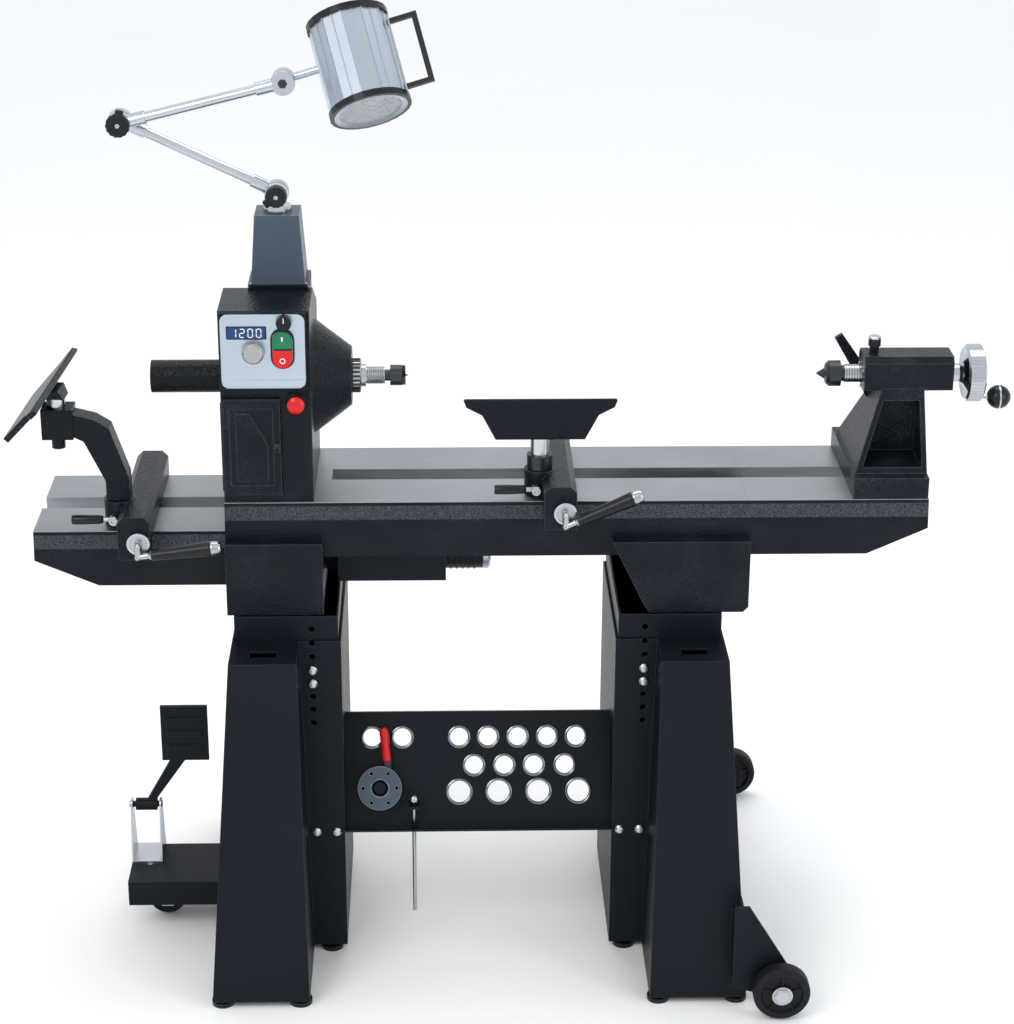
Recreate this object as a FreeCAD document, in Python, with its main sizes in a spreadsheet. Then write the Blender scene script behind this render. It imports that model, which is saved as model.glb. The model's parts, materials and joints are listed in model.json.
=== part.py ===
import FreeCAD, Part
import os
import re
import Sketcher
from FreeCAD import Placement, Rotation, Vector

# A floor-standing wood lathe.  Millimetres.  +X runs along the bed from headstock to
# tailstock, the operator stands at -Y, and the floor is Z = 0.  The spindle axis is Y = 0.

doc = FreeCAD.newDocument("WoodLathe")
sheet = doc.addObject("Spreadsheet::Sheet", "Dims")

DIMS = {
    # bed
    "bed_top": 746, "bed_depth": 85, "bed_width": 230, "bed_gap": 44, "bed_skin": 16,
    "bed_lip": 24, "bed_wall": 13, "bed_left": -433, "bed_right": 342, "right_end": 613,
    "left_end": -717, "left_drop": 44, "swell": 6, "gap_start": -278,
    "foot_floor": 575, "foot_half_depth": 140,
    # spindle line
    "centre_height": 159, "shaft_rad": 15, "thread_rad": 12.7, "nose_end": -196,
    "head_right": -301, "head_half_depth": 110, "head_top": 1040, "head_skin": 12,
    "spindle_pulley_rad": 36, "motor_pulley_rad": 24, "pulley_x": -390, "pulley_width": 24,
    "motor_z": 640, "motor_rad": 46, "belt_thick": 3,
    # stand
    "stand_mid": -58, "column_in": 206, "column_out": 369, "column_half": 150,
    "leg_top": 536, "leg_base": 10, "leg_top_in": 269, "leg_base_in": 258, "leg_base_out": 405,
    "leg_top_front": 230, "leg_base_front": 312, "steel": 3, "post_base": 380, "post_gap": 1,
    # tool rests
    "rest_x": 34, "rest_y": -80, "arm_shift": 28, "arm_width": 48, "arm_tall": 39,
    "arm_front": -160, "arm_rear": 120, "outer_rest_x": -591, "rest_post_rad": 14,
    "socket_tall": 40, "lock_shift": 6, "elbow_shift": 85,
    # tailstock
    "tail_left": 500, "tail_right": 612, "barrel_left": 521, "barrel_right": 655, "quill_rad": 13.5,
    "wheel_rad": 43,
    # lamp
    "lamp_x": -351, "lamp_y": 35, "lamp_layer": 19, "shoulder_z": 1178, "elbow_x": -575, "elbow_z": 1284,
    "wrist_x": -337, "wrist_z": 1343, "tube_rad": 7.5, "hub_rad": 17, "hub_thick": 16,
    "lamp_rad": 58, "lamp_length": 146, "lamp_reach": 111, "lamp_lift": 17, "lamp_roll": 33, "lamp_sink": 12,
    "handle_length": 110,
    # wheels and pedal
    "caster_x": -583, "caster_y": -28, "caster_rad": 29, "caster_trail": 26, "wheel_lift": 2,
    "transport_x": 394, "transport_rad": 43, "transport_y": 350,
    # shelf
    "shelf_half": 206, "shelf_top_y": -60, "shelf_top_z": 373, "shelf_drop": 184, "shelf_tilt": 23.8,
    # clearances
    "running": 0.06, "face_gap": 0.3,
}
for row, (alias, value) in enumerate(DIMS.items(), start=1):
    sheet.set(f"A{row}", alias)
    sheet.set(f"B{row}", str(value))
    sheet.setAlias(f"B{row}", alias)
doc.recompute()

NODES = {}
TURN = {
    "z": Rotation(), "x": Rotation(Vector(0, 1, 0), 90), "-x": Rotation(Vector(0, 1, 0), -90),
    "y": Rotation(Vector(1, 0, 0), -90), "-y": Rotation(Vector(1, 0, 0), 90),
    "-z": Rotation(Vector(1, 0, 0), 180),
}
SPINDLE_Z = "bed_top + centre_height"


def formula(text):
    """The text of an expression whose words are looked up in the sheet."""
    return re.sub(r"[a-z][a-z_]*", lambda word: "Dims." + word[0] if word[0] in DIMS else word[0], str(text))


def bind(obj, prop, text):
    obj.setExpression(prop, formula(text))


def place(obj, at, turn=Rotation()):
    """Put an object's own origin at a point, turned."""
    obj.Placement = Placement(Vector(), turn)
    for axis, text in zip("xyz", at):
        bind(obj, f"Placement.Base.{axis}", text)
    return obj


def part(kind, sizes, at, turn=Rotation()):
    obj = doc.addObject("Part::" + kind, kind)
    for prop, text in sizes.items():
        bind(obj, prop, text)
    return place(obj, at, turn)


def box(x, y, z):
    """A box between two limits along each axis."""
    sizes = {"Length": f"({x[1]}) - ({x[0]})", "Width": f"({y[1]}) - ({y[0]})",
             "Height": f"({z[1]}) - ({z[0]})"}
    return part("Box", sizes, (x[0], y[0], z[0]))


def rod(at, radius, length, axis="z"):
    return part("Cylinder", {"Radius": radius, "Height": length}, at, TURN[axis])


def cone(at, low, high, length, axis="z"):
    return part("Cone", {"Radius1": low, "Radius2": high, "Height": length}, at, TURN[axis])


def ball(at, radius):
    return part("Sphere", {"Radius": radius}, at)


def taper(z, low, high):
    """A box that tapers upwards: low and high are (x0, x1, y0, y1) at the two heights."""
    sizes = {"Ymin": z[0], "Ymax": z[1], "Xmin": low[0], "Xmax": low[1], "X2min": high[0], "X2max": high[1],
             "Zmin": f"-({low[3]})", "Zmax": f"-({low[2]})", "Z2min": f"-({high[3]})", "Z2max": f"-({high[2]})"}
    return part("Wedge", sizes, (0, 0, 0), TURN["-y"])


def join(*pieces):
    fused = doc.addObject("Part::MultiFuse", "Join")
    fused.Shapes = list(pieces)
    return fused


def cut(base, *tools):
    result = doc.addObject("Part::Cut", "Cut")
    result.Base = base
    result.Tool = tools[0] if len(tools) == 1 else join(*tools)
    return result


def group(*pieces):
    """Separate solids kept in one node."""
    bundle = doc.addObject("Part::Compound", "Group")
    bundle.Links = list(pieces)
    return bundle


def node(label, obj):
    obj.Label = label
    NODES[label] = obj
    return obj


def sketched(plane, points):
    """A body with a closed outline of straight runs, each corner tied to the sheet."""
    body = doc.addObject("PartDesign::Body", "Body")
    sketch = body.newObject("Sketcher::SketchObject", "Outline")
    sketch.AttachmentSupport = [(next(f for f in body.Origin.OriginFeatures if f.Role == plane), "")]
    sketch.MapMode = "FlatFace"
    corners = [(sheet_value(u), sheet_value(v)) for u, v in points]
    for start, end in zip(corners, corners[1:] + corners[:1]):
        sketch.addGeometry(Part.LineSegment(Vector(*start, 0), Vector(*end, 0)), False)
    for index, (u, v) in enumerate(points):
        following = (index + 1) % len(points)
        sketch.addConstraint(Sketcher.Constraint("Coincident", index, 2, following, 1))
        for kind, text, value in (("DistanceX", u, corners[index][0]), ("DistanceY", v, corners[index][1])):
            tie = sketch.addConstraint(Sketcher.Constraint(kind, -1, 1, index, 1, value))
            bind(sketch, f"Constraints[{tie}]", text)
    return body, sketch


def sheet_value(text):
    """A formula's value now, worked out by the sheet."""
    sheet.set("D1", f"={text}")
    sheet.recompute()
    return float(sheet.get("D1"))


def pad(plane, points, depth, at=(0, 0, 0), turn=Rotation()):
    """An outline made thick, centred on its own plane."""
    body, sketch = sketched(plane, points)
    feature = body.newObject("PartDesign::Pad", "Pad")
    feature.Profile = sketch
    bind(feature, "Length", depth)
    feature.Midplane = True
    return place(body, at, turn)


def turned(points, at, axis="z"):
    """An outline of (radius, height) corners spun about its height, which points along axis."""
    body, sketch = sketched("XZ_Plane", points)
    feature = body.newObject("PartDesign::Revolution", "Spin")
    feature.Profile = sketch
    feature.ReferenceAxis = (sketch, ["V_Axis"])
    feature.Angle = 360
    return place(body, at, TURN[axis])


# ---------------------------------------------------------------- bed

def rail(x, top, side):
    """One way of the bed: a flat top with an inner lip and a swelling outer wall."""
    half, gap = "bed_width / 2", "bed_gap / 2"
    outline = [(half, 0), (gap, 0), (gap, "-bed_lip"), (f"{gap} + 22", "-bed_lip"),
               (f"{gap} + 22", "-bed_skin"), (f"{half} - bed_wall + swell", "-bed_skin"),
               (f"{half} - bed_wall + swell", "-bed_depth"), (f"{half} + swell", "-bed_depth"),
               (f"{half} + swell", -38)]
    if side < 0:
        outline = [(f"-({y})", z) for y, z in outline]
    middle = f"(({x[0]}) + ({x[1]})) / 2"
    return pad("YZ_Plane", outline, f"({x[1]}) - ({x[0]})", (middle, 0, top))


def cross_wall(x, top, low, high, half="bed_width / 2 - bed_wall + swell"):
    """A wall across the bed between two depths below its top."""
    return box(x, (f"-({half})", half), (f"{top} - ({low})", f"{top} - ({high})"))


def bed_run(x, top):
    """Two ways and the end walls that tie them together under the clamps' path."""
    walls = [cross_wall(limits, top, "bed_depth", 56)
             for limits in ((x[0], f"{x[0]} + 14"), (f"{x[1]} - 14", x[1]))]
    return [rail(x, top, 1), rail(x, top, -1)] + walls


def build_bed():
    under_head = box(("bed_left", "gap_start"), ("-bed_gap / 2 - 1", "bed_gap / 2 + 1"),
                     ("bed_top - bed_lip", "bed_top"))
    ribs = [cross_wall((f"{x}", f"{x + 12}"), "bed_top", "bed_depth", 56) for x in (20, 180)]
    left_wall = cross_wall(("bed_left", "bed_left + 12"), "bed_top", "bed_depth", "bed_skin")
    belt_way = box(("pulley_x - 17", "pulley_x + 17"), (-52, 52), ("bed_top - 60", "bed_top + 1"))
    node("main_bed", cut(join(*bed_run(("bed_left", "bed_right"), "bed_top"), under_head, left_wall, *ribs),
                         belt_way))

    sloped = pad("XZ_Plane", [(521, "bed_top - bed_depth - 1"), ("right_end + 1", "bed_top - bed_depth - 1"),
                              ("right_end + 1", "bed_top - 44")], 300)
    node("right_bed_extension", cut(join(*bed_run(("bed_right", "right_end"), "bed_top")), sloped))

    low_top = "bed_top - left_drop"
    sloped = pad("XZ_Plane", [(-621, f"{low_top} - bed_depth - 1"), ("left_end - 1", f"{low_top} - 44"),
                              ("left_end - 1", f"{low_top} - bed_depth - 1")], 300)
    node("left_bed_extension", cut(join(*bed_run(("left_end", "bed_left"), low_top)), sloped))


def build_bed_feet():
    bed_base = "bed_top - bed_depth"
    side = "foot_half_depth"
    shaft_hole = rod((-302, 0, "motor_z"), 14, 20, "x")
    hollow = box((-424, -301), ("-foot_half_depth + 12", "foot_half_depth - 12"), ("foot_floor + 12", f"{bed_base} + 1"))
    cheeks = [box(("bed_left", -289), limits, (bed_base, "bed_top - 57")) for limits in
              ((f"-{side}", "-bed_width / 2 - swell"), ("bed_width / 2 + swell", side))]
    block = box(("bed_left", -289), (f"-{side}", side), ("foot_floor", bed_base))
    node("left_bed_foot", cut(join(block, *cheeks), hollow, shaft_hole))

    outline = [(141, "bed_top - 57"), (347, "bed_top - 57"), (347, "foot_floor + 8"), (339, "foot_floor"),
               (198, "foot_floor"), (190, "foot_floor + 12")]
    block = pad("XZ_Plane", outline, "2 * foot_half_depth")
    seat = box((100, 380), ("-bed_width / 2 - swell", "bed_width / 2 + swell"), (bed_base, "bed_top"))
    hollow = box((206, 330), ("-foot_half_depth + 12", "foot_half_depth - 12"), ("foot_floor + 12", f"{bed_base} + 1"))
    node("right_bed_foot", cut(block, seat, hollow))


# ---------------------------------------------------------------- headstock and drive

def build_headstock():
    half, skin = "head_half_depth", "head_skin"
    middle = "(bed_left + head_right) / 2"
    shell = pad("YZ_Plane", [(f"-{half}", "bed_top"), (half, "bed_top"), (half, "head_top - 50"),
                             (6, "head_top"), (f"-{half}", "head_top")], "head_right - bed_left", (middle, 0, 0))
    cavity = pad("YZ_Plane", [(f"-{half} + {skin}", "bed_top - 1"), (f"{half} - {skin}", "bed_top - 1"),
                              (f"{half} - {skin}", "head_top - 60"), (0, f"head_top - {skin}"),
                              (f"-{half} + {skin}", f"head_top - {skin}")],
                 "head_right - bed_left - 2 * head_skin", (middle, 0, 0))
    lamp_pad = box((-396, -306), (2, 74), ("head_top - 30", "head_top + 3"))
    nose = cone(("head_right", 0, SPINDLE_Z), 86, 44, 56, "x")
    guard = rod(("bed_left", 0, SPINDLE_Z), 24.5, 111, "-x")
    hub = rod(("bed_left + head_skin", 0, SPINDLE_Z), 38, 16, "x")
    shaft_way = rod(("bed_left - 112", 0, SPINDLE_Z), "shaft_rad + 2", 302, "x")
    rear_seat = rod(("bed_left + head_skin - 8", 0, SPINDLE_Z), "30 + running", 26, "x")
    front_seat = rod(("head_right - head_skin - 1", 0, SPINDLE_Z), "34 + running", 54, "x")
    door_way = box(("bed_left + 12", -356), (f"-{half} - 1", f"-{half} + {skin} + 1"), (774, 894))
    stop_hole = rod((-323, "-97", 901), "5 + running", 14, "-y")
    stems = [rod((x, "-97", z), "3 + running", 14, "-y") for x, z in ((-382, 982), (-337, 1026.5))]
    stems += [rod((-340, "-97", z), "3 + running", 14, "-y") for z in (1000, 973)]
    node("headstock_housing", cut(join(cut(join(shell, lamp_pad), cavity), nose, guard, hub),
                                  shaft_way, rear_seat, front_seat, door_way, stop_hole, *stems))

    rings = [cut(rod((x, 0, SPINDLE_Z), outer, width, "x"), rod((f"{x} - 1", 0, SPINDLE_Z), "shaft_rad + running", 40, "x"))
             for x, outer, width in (("bed_left + 5", 30, 18), ("head_right - 6", 34, 20), ("head_right + 18", 34, 20))]
    node("spindle_bearings", group(*rings))


def build_spindle():
    turned_profile = [(0, 0), (13, 0), (13, 90), ("shaft_rad", 90), ("shaft_rad", 296.3), (23, 296.3),
                      (25, 298), (25, 308), (23, 310), (17, 310), (17, 317), ("thread_rad", 317),
                      ("thread_rad", "nose_end + 541"), (0, "nose_end + 541")]
    bar = turned(turned_profile, (-541, 0, SPINDLE_Z), "x")
    through = rod((-542, 0, SPINDLE_Z), 5, 360, "x")
    socket = cone(("nose_end + 0.01", 0, SPINDLE_Z), 9.06, 7.5, 64, "-x")
    pulley = rod(("pulley_x - pulley_width / 2", 0, SPINDLE_Z), "spindle_pulley_rad", "pulley_width", "x")
    node("spindle", cut(join(bar, pulley), through, socket))

    shank = cone(("nose_end", 0, SPINDLE_Z), 9, 7.6, 58, "-x")
    neck = rod(("nose_end", 0, SPINDLE_Z), 8.5, 8, "x")
    head = rod(("nose_end + 8", 0, SPINDLE_Z), 15.5, 18, "x")
    point = cone(("nose_end + 26", 0, SPINDLE_Z), 3, 0.5, 9, "x")
    prongs = [box(("nose_end + 26", "nose_end + 31"), y, z) for y, z in
              (((-15, 15), (f"{SPINDLE_Z} - 1.5", f"{SPINDLE_Z} + 1.5")),
               ((-1.5, 1.5), (f"{SPINDLE_Z} - 15", f"{SPINDLE_Z} + 15")))]
    node("drive_centre", join(shank, neck, head, point, *prongs))


def belt_loop(offset, width):
    """The space inside a loop round both pulleys, offset outwards from their faces."""
    high, low, span = "spindle_pulley_rad", "motor_pulley_rad", f"({SPINDLE_Z} - motor_z)"
    lean = f"({high} - {low}) / {span}"
    reach = f"sqrt(1 - ({lean}) * ({lean}))"
    corners = []
    for side, centre, radius in ((1, span, high), (-1, span, high), (-1, "0", low), (1, "0", low)):
        size = f"({radius} + {offset})"
        corners.append((f"{side} * {size} * {reach}", f"{centre} + {size} * {lean}"))
    flanks = pad("YZ_Plane", corners, width, ("pulley_x", 0, "motor_z"))
    start = f"pulley_x - ({width}) / 2"
    return join(flanks, rod((start, 0, SPINDLE_Z), f"{high} + {offset}", width, "x"),
                rod((start, 0, "motor_z"), f"{low} + {offset}", width, "x"))


def build_drive():
    node("drive_belt", cut(belt_loop("belt_thick + face_gap", 18), belt_loop("face_gap", 20)))

    case = rod((-289, 0, "motor_z"), "motor_rad", 241, "x")
    hollow = rod((-281, 0, "motor_z"), "motor_rad - 5", 225, "x")
    end_hole = rod((-290, 0, "motor_z"), "9 + running", 12, "x")
    terminal_box = box((-270, -106), ("-motor_rad - 16", -20), ("motor_z - 44", "motor_z + 12"))
    node("motor_housing", cut(join(case, terminal_box), hollow, end_hole))

    shaft = rod(("pulley_x - 16", 0, "motor_z"), 9, 330, "x")
    core = rod((-262, 0, "motor_z"), "motor_rad - 14", 150, "x")
    pulley = rod(("pulley_x - pulley_width / 2", 0, "motor_z"), "motor_pulley_rad", "pulley_width", "x")
    node("motor_shaft", join(shaft, core, pulley))


def build_controls():
    front = "-head_half_depth"
    panel = box((-431, -306), (f"{front} - 8", front), (924, "head_top - 1"))
    ports = [rod((x, f"{front} + 1", z), "3 + running", 10, "-y") for x, z in
             ((-382, 982), (-337, 1026.5), (-340, 1000), (-340, 973))]
    node("control_panel", cut(panel, *ports))

    for label, x, z, radius, length in (("speed_knob", -382, 982, 15.5, 15), ("range_knob", -337, 1026.5, 11, 13)):
        face = f"{front} - 8 - face_gap"
        cap = turned([(0, 0), (radius, 0), (radius, length - 2), (radius - 2, length), (0, length)], (x, face, z), "-y")
        stem = rod((x, f"{face} + 10", z), 3, 11, "-y")
        node(label, join(cap, stem))

    for label, z, low, high in (("start_button", 1000, 988.5, 1000), ("stop_button", 973, 973, 985.5)):
        face = f"{front} - 8 - 3"
        bar = box((-354, -326), (f"{face} - 6", face), (low, high))
        round_end = rod((-340, face, z), 14, 6, "-y")
        spare = (z - 20, low) if label == "start_button" else (high, z + 20)
        cap = join(bar, cut(round_end, box((-360, -320), (f"{face} - 8", f"{face} + 2"), spare)))
        node(label, join(cap, rod((-340, f"{face} + 13", z), 3, 14, "-y")))

    face = f"{front} - 4"
    cap = turned([(0, 0), (9, 0), (9, 4), (12.5, 6), (12.5, 11), (8, 14), (0, 15)], (-323, face, 901), "-y")
    node("emergency_stop_button", join(cap, rod((-323, f"{face} + 15", 901), 5, 16, "-y")))

    plate = box(("bed_left + 2", -347), (f"{front} - 7", f"{front} - face_gap"), (759, 908))
    relief = box((-421, -358), (f"{front} - 9", f"{front} - 5"), (774, 893))
    fold = pad("XZ_Plane", [(-412, 780), (-366, 780), (-366, 838), (-392, 886), (-412, 886)], 6, (0, f"{front} - 5.5", 0))
    barrel = rod(("bed_left + 2", f"{front} - 3.6", 765), 3, 137)
    node("belt_door", join(cut(plate, relief), fold, barrel))


# ---------------------------------------------------------------- stand

def sides():
    """The stand's two ends: left and right of its middle."""
    return (("left", -1), ("right", 1))


def across(side, near, far):
    """X limits at two distances from the stand's middle, on one side of it."""
    if side < 0:
        return (f"stand_mid - ({far})", f"stand_mid - ({near})")
    return (f"stand_mid + ({near})", f"stand_mid + ({far})")


def tapered_leg(side, facing, inset, behind):
    """A splayed leg box in front of the column; inset shrinks it to make the space inside."""
    top = across(side, f"leg_top_in + {inset}", f"column_out - {inset}")
    base = across(side, f"leg_base_in + {inset}", f"leg_base_out - {inset}")
    depth = []
    for front in ("leg_base_front", "leg_top_front"):
        outer = f"{front} - {inset}"
        depth.append((f"-({outer})", f"-({behind})") if facing < 0 else (behind, outer))
    floor = f"leg_base + {inset}"
    ceiling = f"leg_top - {inset}"
    return taper((floor, ceiling), (*base, *depth[0]), (*top, *depth[1]))


def bolt_spots(side):
    middle = f"stand_mid + ({side} * 250)"
    inner = f"stand_mid + ({side} * 219)"
    return [(middle, 488), (middle, 466), (middle, 212), (inner, 212)]


def build_stand():
    heights = [554 - 22 * step for step in range(8)]
    posts = []
    for label, side in sides():
        column = box(across(side, "column_in", "column_out"), ("-column_half", "column_half"), ("leg_base", "leg_top"))
        bore = box(across(side, "column_in + steel", "column_out - steel"),
                   ("-column_half + steel", "column_half - steel"), ("leg_base + steel", "leg_top + 1"))
        legs = [tapered_leg(side, facing, "0", "column_half - 1") for facing in (-1, 1)]
        spaces = [tapered_leg(side, facing, "steel", "column_half") for facing in (-1, 1)]
        slots = [box(across(side, 300, 340), limits, ("leg_top - 6", "leg_top + 1"))
                 for limits in ((-205, -185), (185, 205))]
        holes = [rod((f"stand_mid + ({side} * 250)", -140, z), 5, 20, "-y") for z in heights[1:]]
        base_holes = [rod((f"stand_mid + ({side} * {distance})", -140, 212), 5, 20, "-y") for distance in (219, 250)]
        extras, bores = side_extras(side)
        frame = cut(join(column, *legs, *extras), bore, *spaces, *slots, *holes, *base_holes, *bores)
        node(f"{label}_stand_frame", frame)

        gap = "(steel + post_gap)"
        tube = box(across(side, f"column_in + {gap}", f"column_out - {gap}"),
                   (f"-column_half + {gap}", f"column_half - {gap}"), ("post_base", "foot_floor"))
        inner = box(across(side, f"column_in + {gap} + steel", f"column_out - {gap} - steel"),
                    (f"-column_half + {gap} + steel", f"column_half - {gap} - steel"),
                    ("post_base - 1", "foot_floor + 1"))
        holes = [rod((f"stand_mid + ({side} * 250)", -130, z), 5, 20, "-y") for z in heights]
        posts.append(cut(tube, inner, *holes))
    node("height_posts", group(*posts))

    bolts = []
    for _, side in sides():
        for x, z in bolt_spots(side):
            head = turned([(0, 0), (7.5, 0), (7.5, 2), (5, 4.5), (0, 5.2)], (x, "-column_half", z), "-y")
            bolts.append(join(head, rod((x, "-column_half + 14", z), 4.7, 15, "-y")))
    node("stand_bolts", group(*bolts))

    pads = []
    for _, side in sides():
        spots = [(230, -138), (230, 138), (272, -296), (390, -296), (272, 296), (390, 296)]
        for distance, y in spots:
            x = f"stand_mid + ({side} * {distance})"
            pads.append(join(rod((x, y, 0), 17, 7), rod((x, y, 7), 6, 3)))
    node("levelling_feet", group(*pads))


def side_extras(side):
    """What is welded to one end of the stand, and the bores through it."""
    if side < 0:
        run = (-612, "stand_mid - column_out")
        web = box(run, ("caster_y - 61", "caster_y + 61"), (86, 90))
        flanges = [box(run, (f"caster_y + ({low})", f"caster_y + ({low}) + 4"), (48, 90)) for low in (-61, 57)]
        return [web, *flanges], [rod(("caster_x", "caster_y", 80), "6 + running", 14)]
    centre = "transport_rad + wheel_lift"
    welded = []
    for facing in (-1, 1):
        plate = pad("XZ_Plane", [(322, 178), (344, 178), (412, 66), (412, 30), (380, 24), (322, 40)], 5,
                    (0, f"{facing} * (transport_y - 21)", 0))
        reach = ("21 - transport_y", -250) if facing < 0 else (250, "transport_y - 21")
        back = box((322, 342), reach, (50, 150))
        outward = "-y" if facing < 0 else "y"
        pin = rod(("transport_x", f"{facing} * (transport_y - 22)", centre), 6, 40, outward)
        cap = rod(("transport_x", f"{facing} * (transport_y + 15)", centre), 11, 5, outward)
        welded += [plate, back, pin, cap]
    return welded, []


def build_shelf():
    half = "shelf_half"
    panel = box((f"-{half}", half), (-1.5, 1.5), ("-shelf_drop", 0))
    lips = [box((f"-{half}", half), (0, 20), (-3, 0)), box((f"-{half}", half), (-28, 0), ("-shelf_drop", "-shelf_drop + 3"))]
    ends = [box(limits, (0, 28), ("-shelf_drop", 0)) for limits in ((f"-{half}", f"-{half} + 3"), (f"{half} - 3", half))]
    rows = ((-40, 14, (-222, -175, -87, -42, 4, 50, 95)), (-84, 14, (-64, -17, 29, 77)),
            (-125, 17, (-87, -26, 36, 98)))
    rims, holes = [], []
    for drop, radius, places in rows:
        for x in places:
            spot = f"{x} - stand_mid"
            rims.append(rod((spot, 8, drop), f"{radius} + 3", 10, "-y"))
            holes.append(rod((spot, 10, drop), radius, 14, "-y"))
    peg = rod(("-210 - stand_mid", 0, -117), 9, 22, "-y")
    sheet_metal = cut(join(panel, *lips, *ends, *rims, peg), *holes)
    place(sheet_metal, ("stand_mid", "shelf_top_y", "shelf_top_z"), Rotation(Vector(1, 0, 0), -DIMS["shelf_tilt"]))
    bracket = box((-165, -150), (-152, -104), (250, 254))
    rod_way = rod((-157.5, -140, 180), 3.6, 90)
    node("tool_shelf", cut(join(sheet_metal, bracket), rod_way))

    disc = turned([(12.8, 0), (20, 0), (20, 14), (34, 14), (34, 22), (12.8, 22)], ("-210 - stand_mid", -2, -117), "-y")
    screws = []
    for turn in range(6):
        x, z = f"26 * cos({60 * turn} deg) - 210 - stand_mid", f"26 * sin({60 * turn} deg) - 117"
        screws.append(rod((x, 0, z), 2.6, 30, "-y"))
    stored = cut(disc, *screws)
    place(stored, ("stand_mid", "shelf_top_y", "shelf_top_z"), Rotation(Vector(1, 0, 0), -DIMS["shelf_tilt"]))
    node("faceplate", stored)
    node("knock_out_rod", join(rod((-157.5, -140, 66), 3, 190), ball((-157.5, -140, 262.3), 8)))


# ---------------------------------------------------------------- tool rests

def banjo(label, rest, top):
    """A tool-rest base: an arm across the bed with a post socket beside it."""
    arm = f"({rest}) + arm_shift"
    half = "arm_width / 2"
    sole = f"{top} + face_gap"
    section = [(f"-{half}", 0), (half, 0), (half, "arm_tall - 9"), (f"{half} - 9", "arm_tall"),
               (f"9 - {half}", "arm_tall"), (f"-{half}", "arm_tall - 9")]
    body = pad("XZ_Plane", section, "arm_rear - arm_front", (arm, "(arm_rear + arm_front) / 2", sole))
    snout = box((f"{arm} - {half}", f"{arm} + {half}"), ("arm_front", "arm_front + 20"),
                (f"{top} - 28", f"{sole} + 10"))
    socket = rod((rest, "rest_y", sole), 23, "socket_tall")
    bore = rod((rest, "rest_y", f"{sole} - 1"), "rest_post_rad + running", "socket_tall + 2")
    screw_way = rod((f"({rest}) - lock_shift", "rest_y - 10", f"{sole} + 17"), "5 + running", 20, "-y")
    slot = box((f"{arm} - 7", f"{arm} + 7"), (-92, 60), (f"{sole} - 1", f"{sole} + 24"))
    lever_way = rod((f"{arm} + 7", "arm_front - 1", f"{top} + 1"), "8 + running", 18, "y")
    node(label, cut(join(body, snout, socket), bore, screw_way, slot, lever_way))


def clamp_lever(label, rest, top, slope):
    """A hub with its shaft, a cranked rod and a grip rising at a slope."""
    x, z = f"({rest}) + arm_shift + 7", f"{top} + 1"
    front = "arm_front"
    hub = rod((x, f"{front} - face_gap", z), 17, 9, "-y")
    shaft = rod((x, f"{front} + 16", z), 8, 18, "-y")
    bend, foot = (x, f"{front} - 19", z), (x, f"{front} - 19", f"{z} - 16")
    crank = rod((x, f"{front} - 9", z), 4.3, 10, "-y")
    drop = rod(foot, 4.6, 16)
    grip = turned([(0, 0), (4.4, 0), (4.4, 16), (7, 20), (10.5, 110), (9.5, 119), (7.5, 122), (0, 122)], (0, 0, 0))
    place(grip, foot, Rotation(Vector(0, 1, 0), 90 - slope))
    node(label, join(hub, shaft, crank, drop, ball(bend, 5.2), ball(foot, 5.4), grip))


def lock_handle(label, rest, top):
    """A one-sided handle whose screw tightens on the post."""
    x, z = f"({rest}) - lock_shift", f"{top} + face_gap + 17"
    screw = rod((x, "rest_y - 15", z), 5, 20, "-y")
    hub = rod((x, "rest_y - 23 - face_gap", z), 7, 14, "-y")
    bar = rod((f"{x} - 62", "rest_y - 31", z), 4, 66, "x")
    node(label, join(screw, hub, bar))


def t_rest(label, at, half, drop, neck, post_run, lean=0, turn=0):
    """A tool rest: a curved-end plate with a round top rod, on a post that starts below it."""
    outline = [(-half, 0), (4 - half, -10), (27 - half, -22), (47 - half, -drop), (half - 47, -drop),
               (half - 27, -22), (half - 4, -10), (half, 0)]
    ahead = 0 if lean else -11
    plate = pad("XZ_Plane", outline, 9, (0, ahead, 0), Rotation(Vector(1, 0, 0), lean))
    base = taper((f"{-neck}", f"{6 - neck * 2 / 3}"), (-16, 16, -15.4, 15.5), (-22, 22, -8, 15 if lean else 8))
    rail_rod = rod((1.5 - half, ahead - 1, -1), 3.5, 2 * half - 3, "x")
    post = rod((0, 0, f"{-neck - post_run}"), "rest_post_rad", post_run + 2)
    whole = join(plate, base, rail_rod, post)
    place(whole, at, Rotation(Vector(0, 0, 1), turn))
    node(label, whole)


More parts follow.
